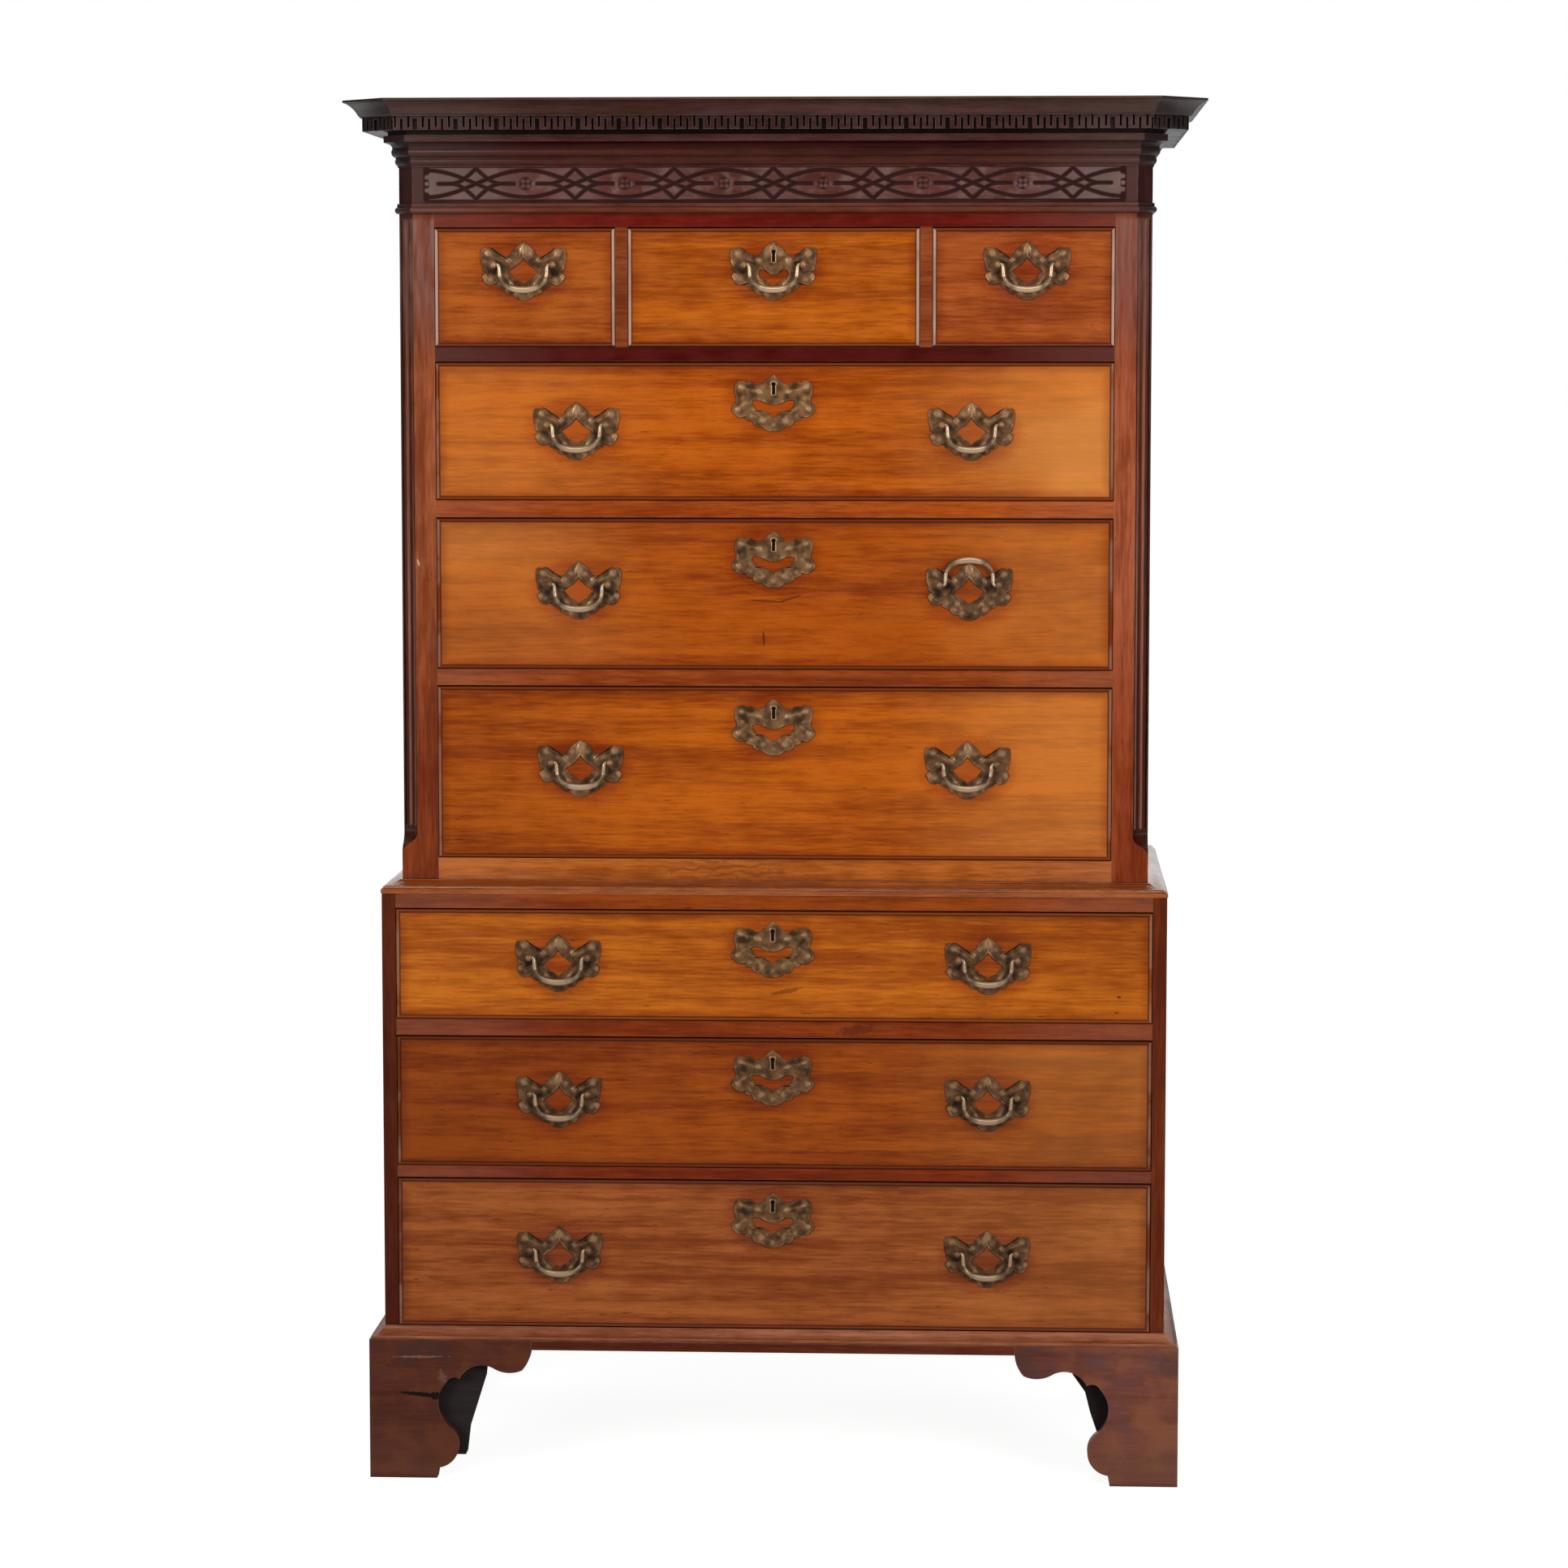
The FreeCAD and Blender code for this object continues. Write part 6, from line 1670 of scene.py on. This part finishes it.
line = np.linspace(-1, 1, FLOOR_LINES) * FLOOR_HALF
floor_x, floor_y = np.meshgrid(line, line, indexing="ij")
floor_points = np.stack([floor_x, floor_y, np.full_like(floor_x, -FLOOR_GAP)], -1).reshape(-1, 3)
floor_faces = grid_faces(FLOOR_LINES, FLOOR_LINES, False, False)[:, ::-1]
floor_mesh = bpy.data.meshes.new("studio_floor")
floor_mesh.from_pydata(floor_points.tolist(), [], floor_faces.tolist())
floor_mesh.materials.append(floor_finish)
floor = bpy.data.objects.new("studio_floor", floor_mesh)
scene.collection.objects.link(floor)
floor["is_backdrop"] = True
print("floor", 2 * FLOOR_HALF, "m wide")

# %% [markdown]
# ## Lamps
# Polish looks best under large soft lamps.  Two stand left and right of the camera, the
# right one a little stronger, and a weak one above lifts the cornice.

# %% Lamps
LAMPS = [
    ("right soft box", (4.0, -5.0, 2.2), (0.0, -0.2, 0.95), 2.0, 150.0),
    ("left soft box", (-3.7, -5.0, 2.2), (0.0, -0.2, 0.95), 2.0, 115.0),
    ("overhead soft box", (0.3, -2.6, 4.4), (0.0, -0.2, 1.2), 2.4, 35.0),
]


def soft_box(name, place, aim, size, power):
    """Square lamp at place that faces aim; sizes in metres, power in watts."""
    lamp = bpy.data.lights.new(name, "AREA")
    lamp.shape = "SQUARE"
    lamp.size = size
    lamp.energy = power
    holder = bpy.data.objects.new(name, lamp)
    scene.collection.objects.link(holder)
    holder.location = place
    towards = np.array(aim) - np.array(place)
    yaw = math.atan2(-towards[0], towards[1])
    pitch = math.atan2(towards[2], math.hypot(towards[0], towards[1]))
    holder.rotation_euler = (math.pi / 2 + pitch, 0.0, yaw)


for lamp_values in LAMPS:
    soft_box(*lamp_values)
print(len(LAMPS), "lamps placed")

# %% [markdown]
# ## Camera
# The camera stands about six metres away, a little to the right and a little above the
# middle, and looks slightly down.  So far off, a long lens keeps the upright lines nearly
# parallel.

# %% Camera
CAMERA_PLACE = (0.311, -6.094, 1.496)
LOOKS_DOWN = 5.48
LOOKS_LEFT = 2.9
LENS = 102.28

camera_data = bpy.data.cameras.new("camera")
camera_data.lens = LENS
camera_data.sensor_width = 36.0
camera = bpy.data.objects.new("camera", camera_data)
scene.collection.objects.link(camera)
camera.location = CAMERA_PLACE
camera.rotation_euler = (math.radians(90.0 - LOOKS_DOWN), 0.0, math.radians(LOOKS_LEFT))
scene.camera = camera
scene.view_settings.view_transform = "Standard"
print("camera", LENS, "mm lens")

# %% [markdown]
# ## Measure and finish
# The size of the visual model is measured and printed, in millimetres.

# %% Finish
low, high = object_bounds()
print("visual model, mm:", [round(size / MM) for size in high - low])
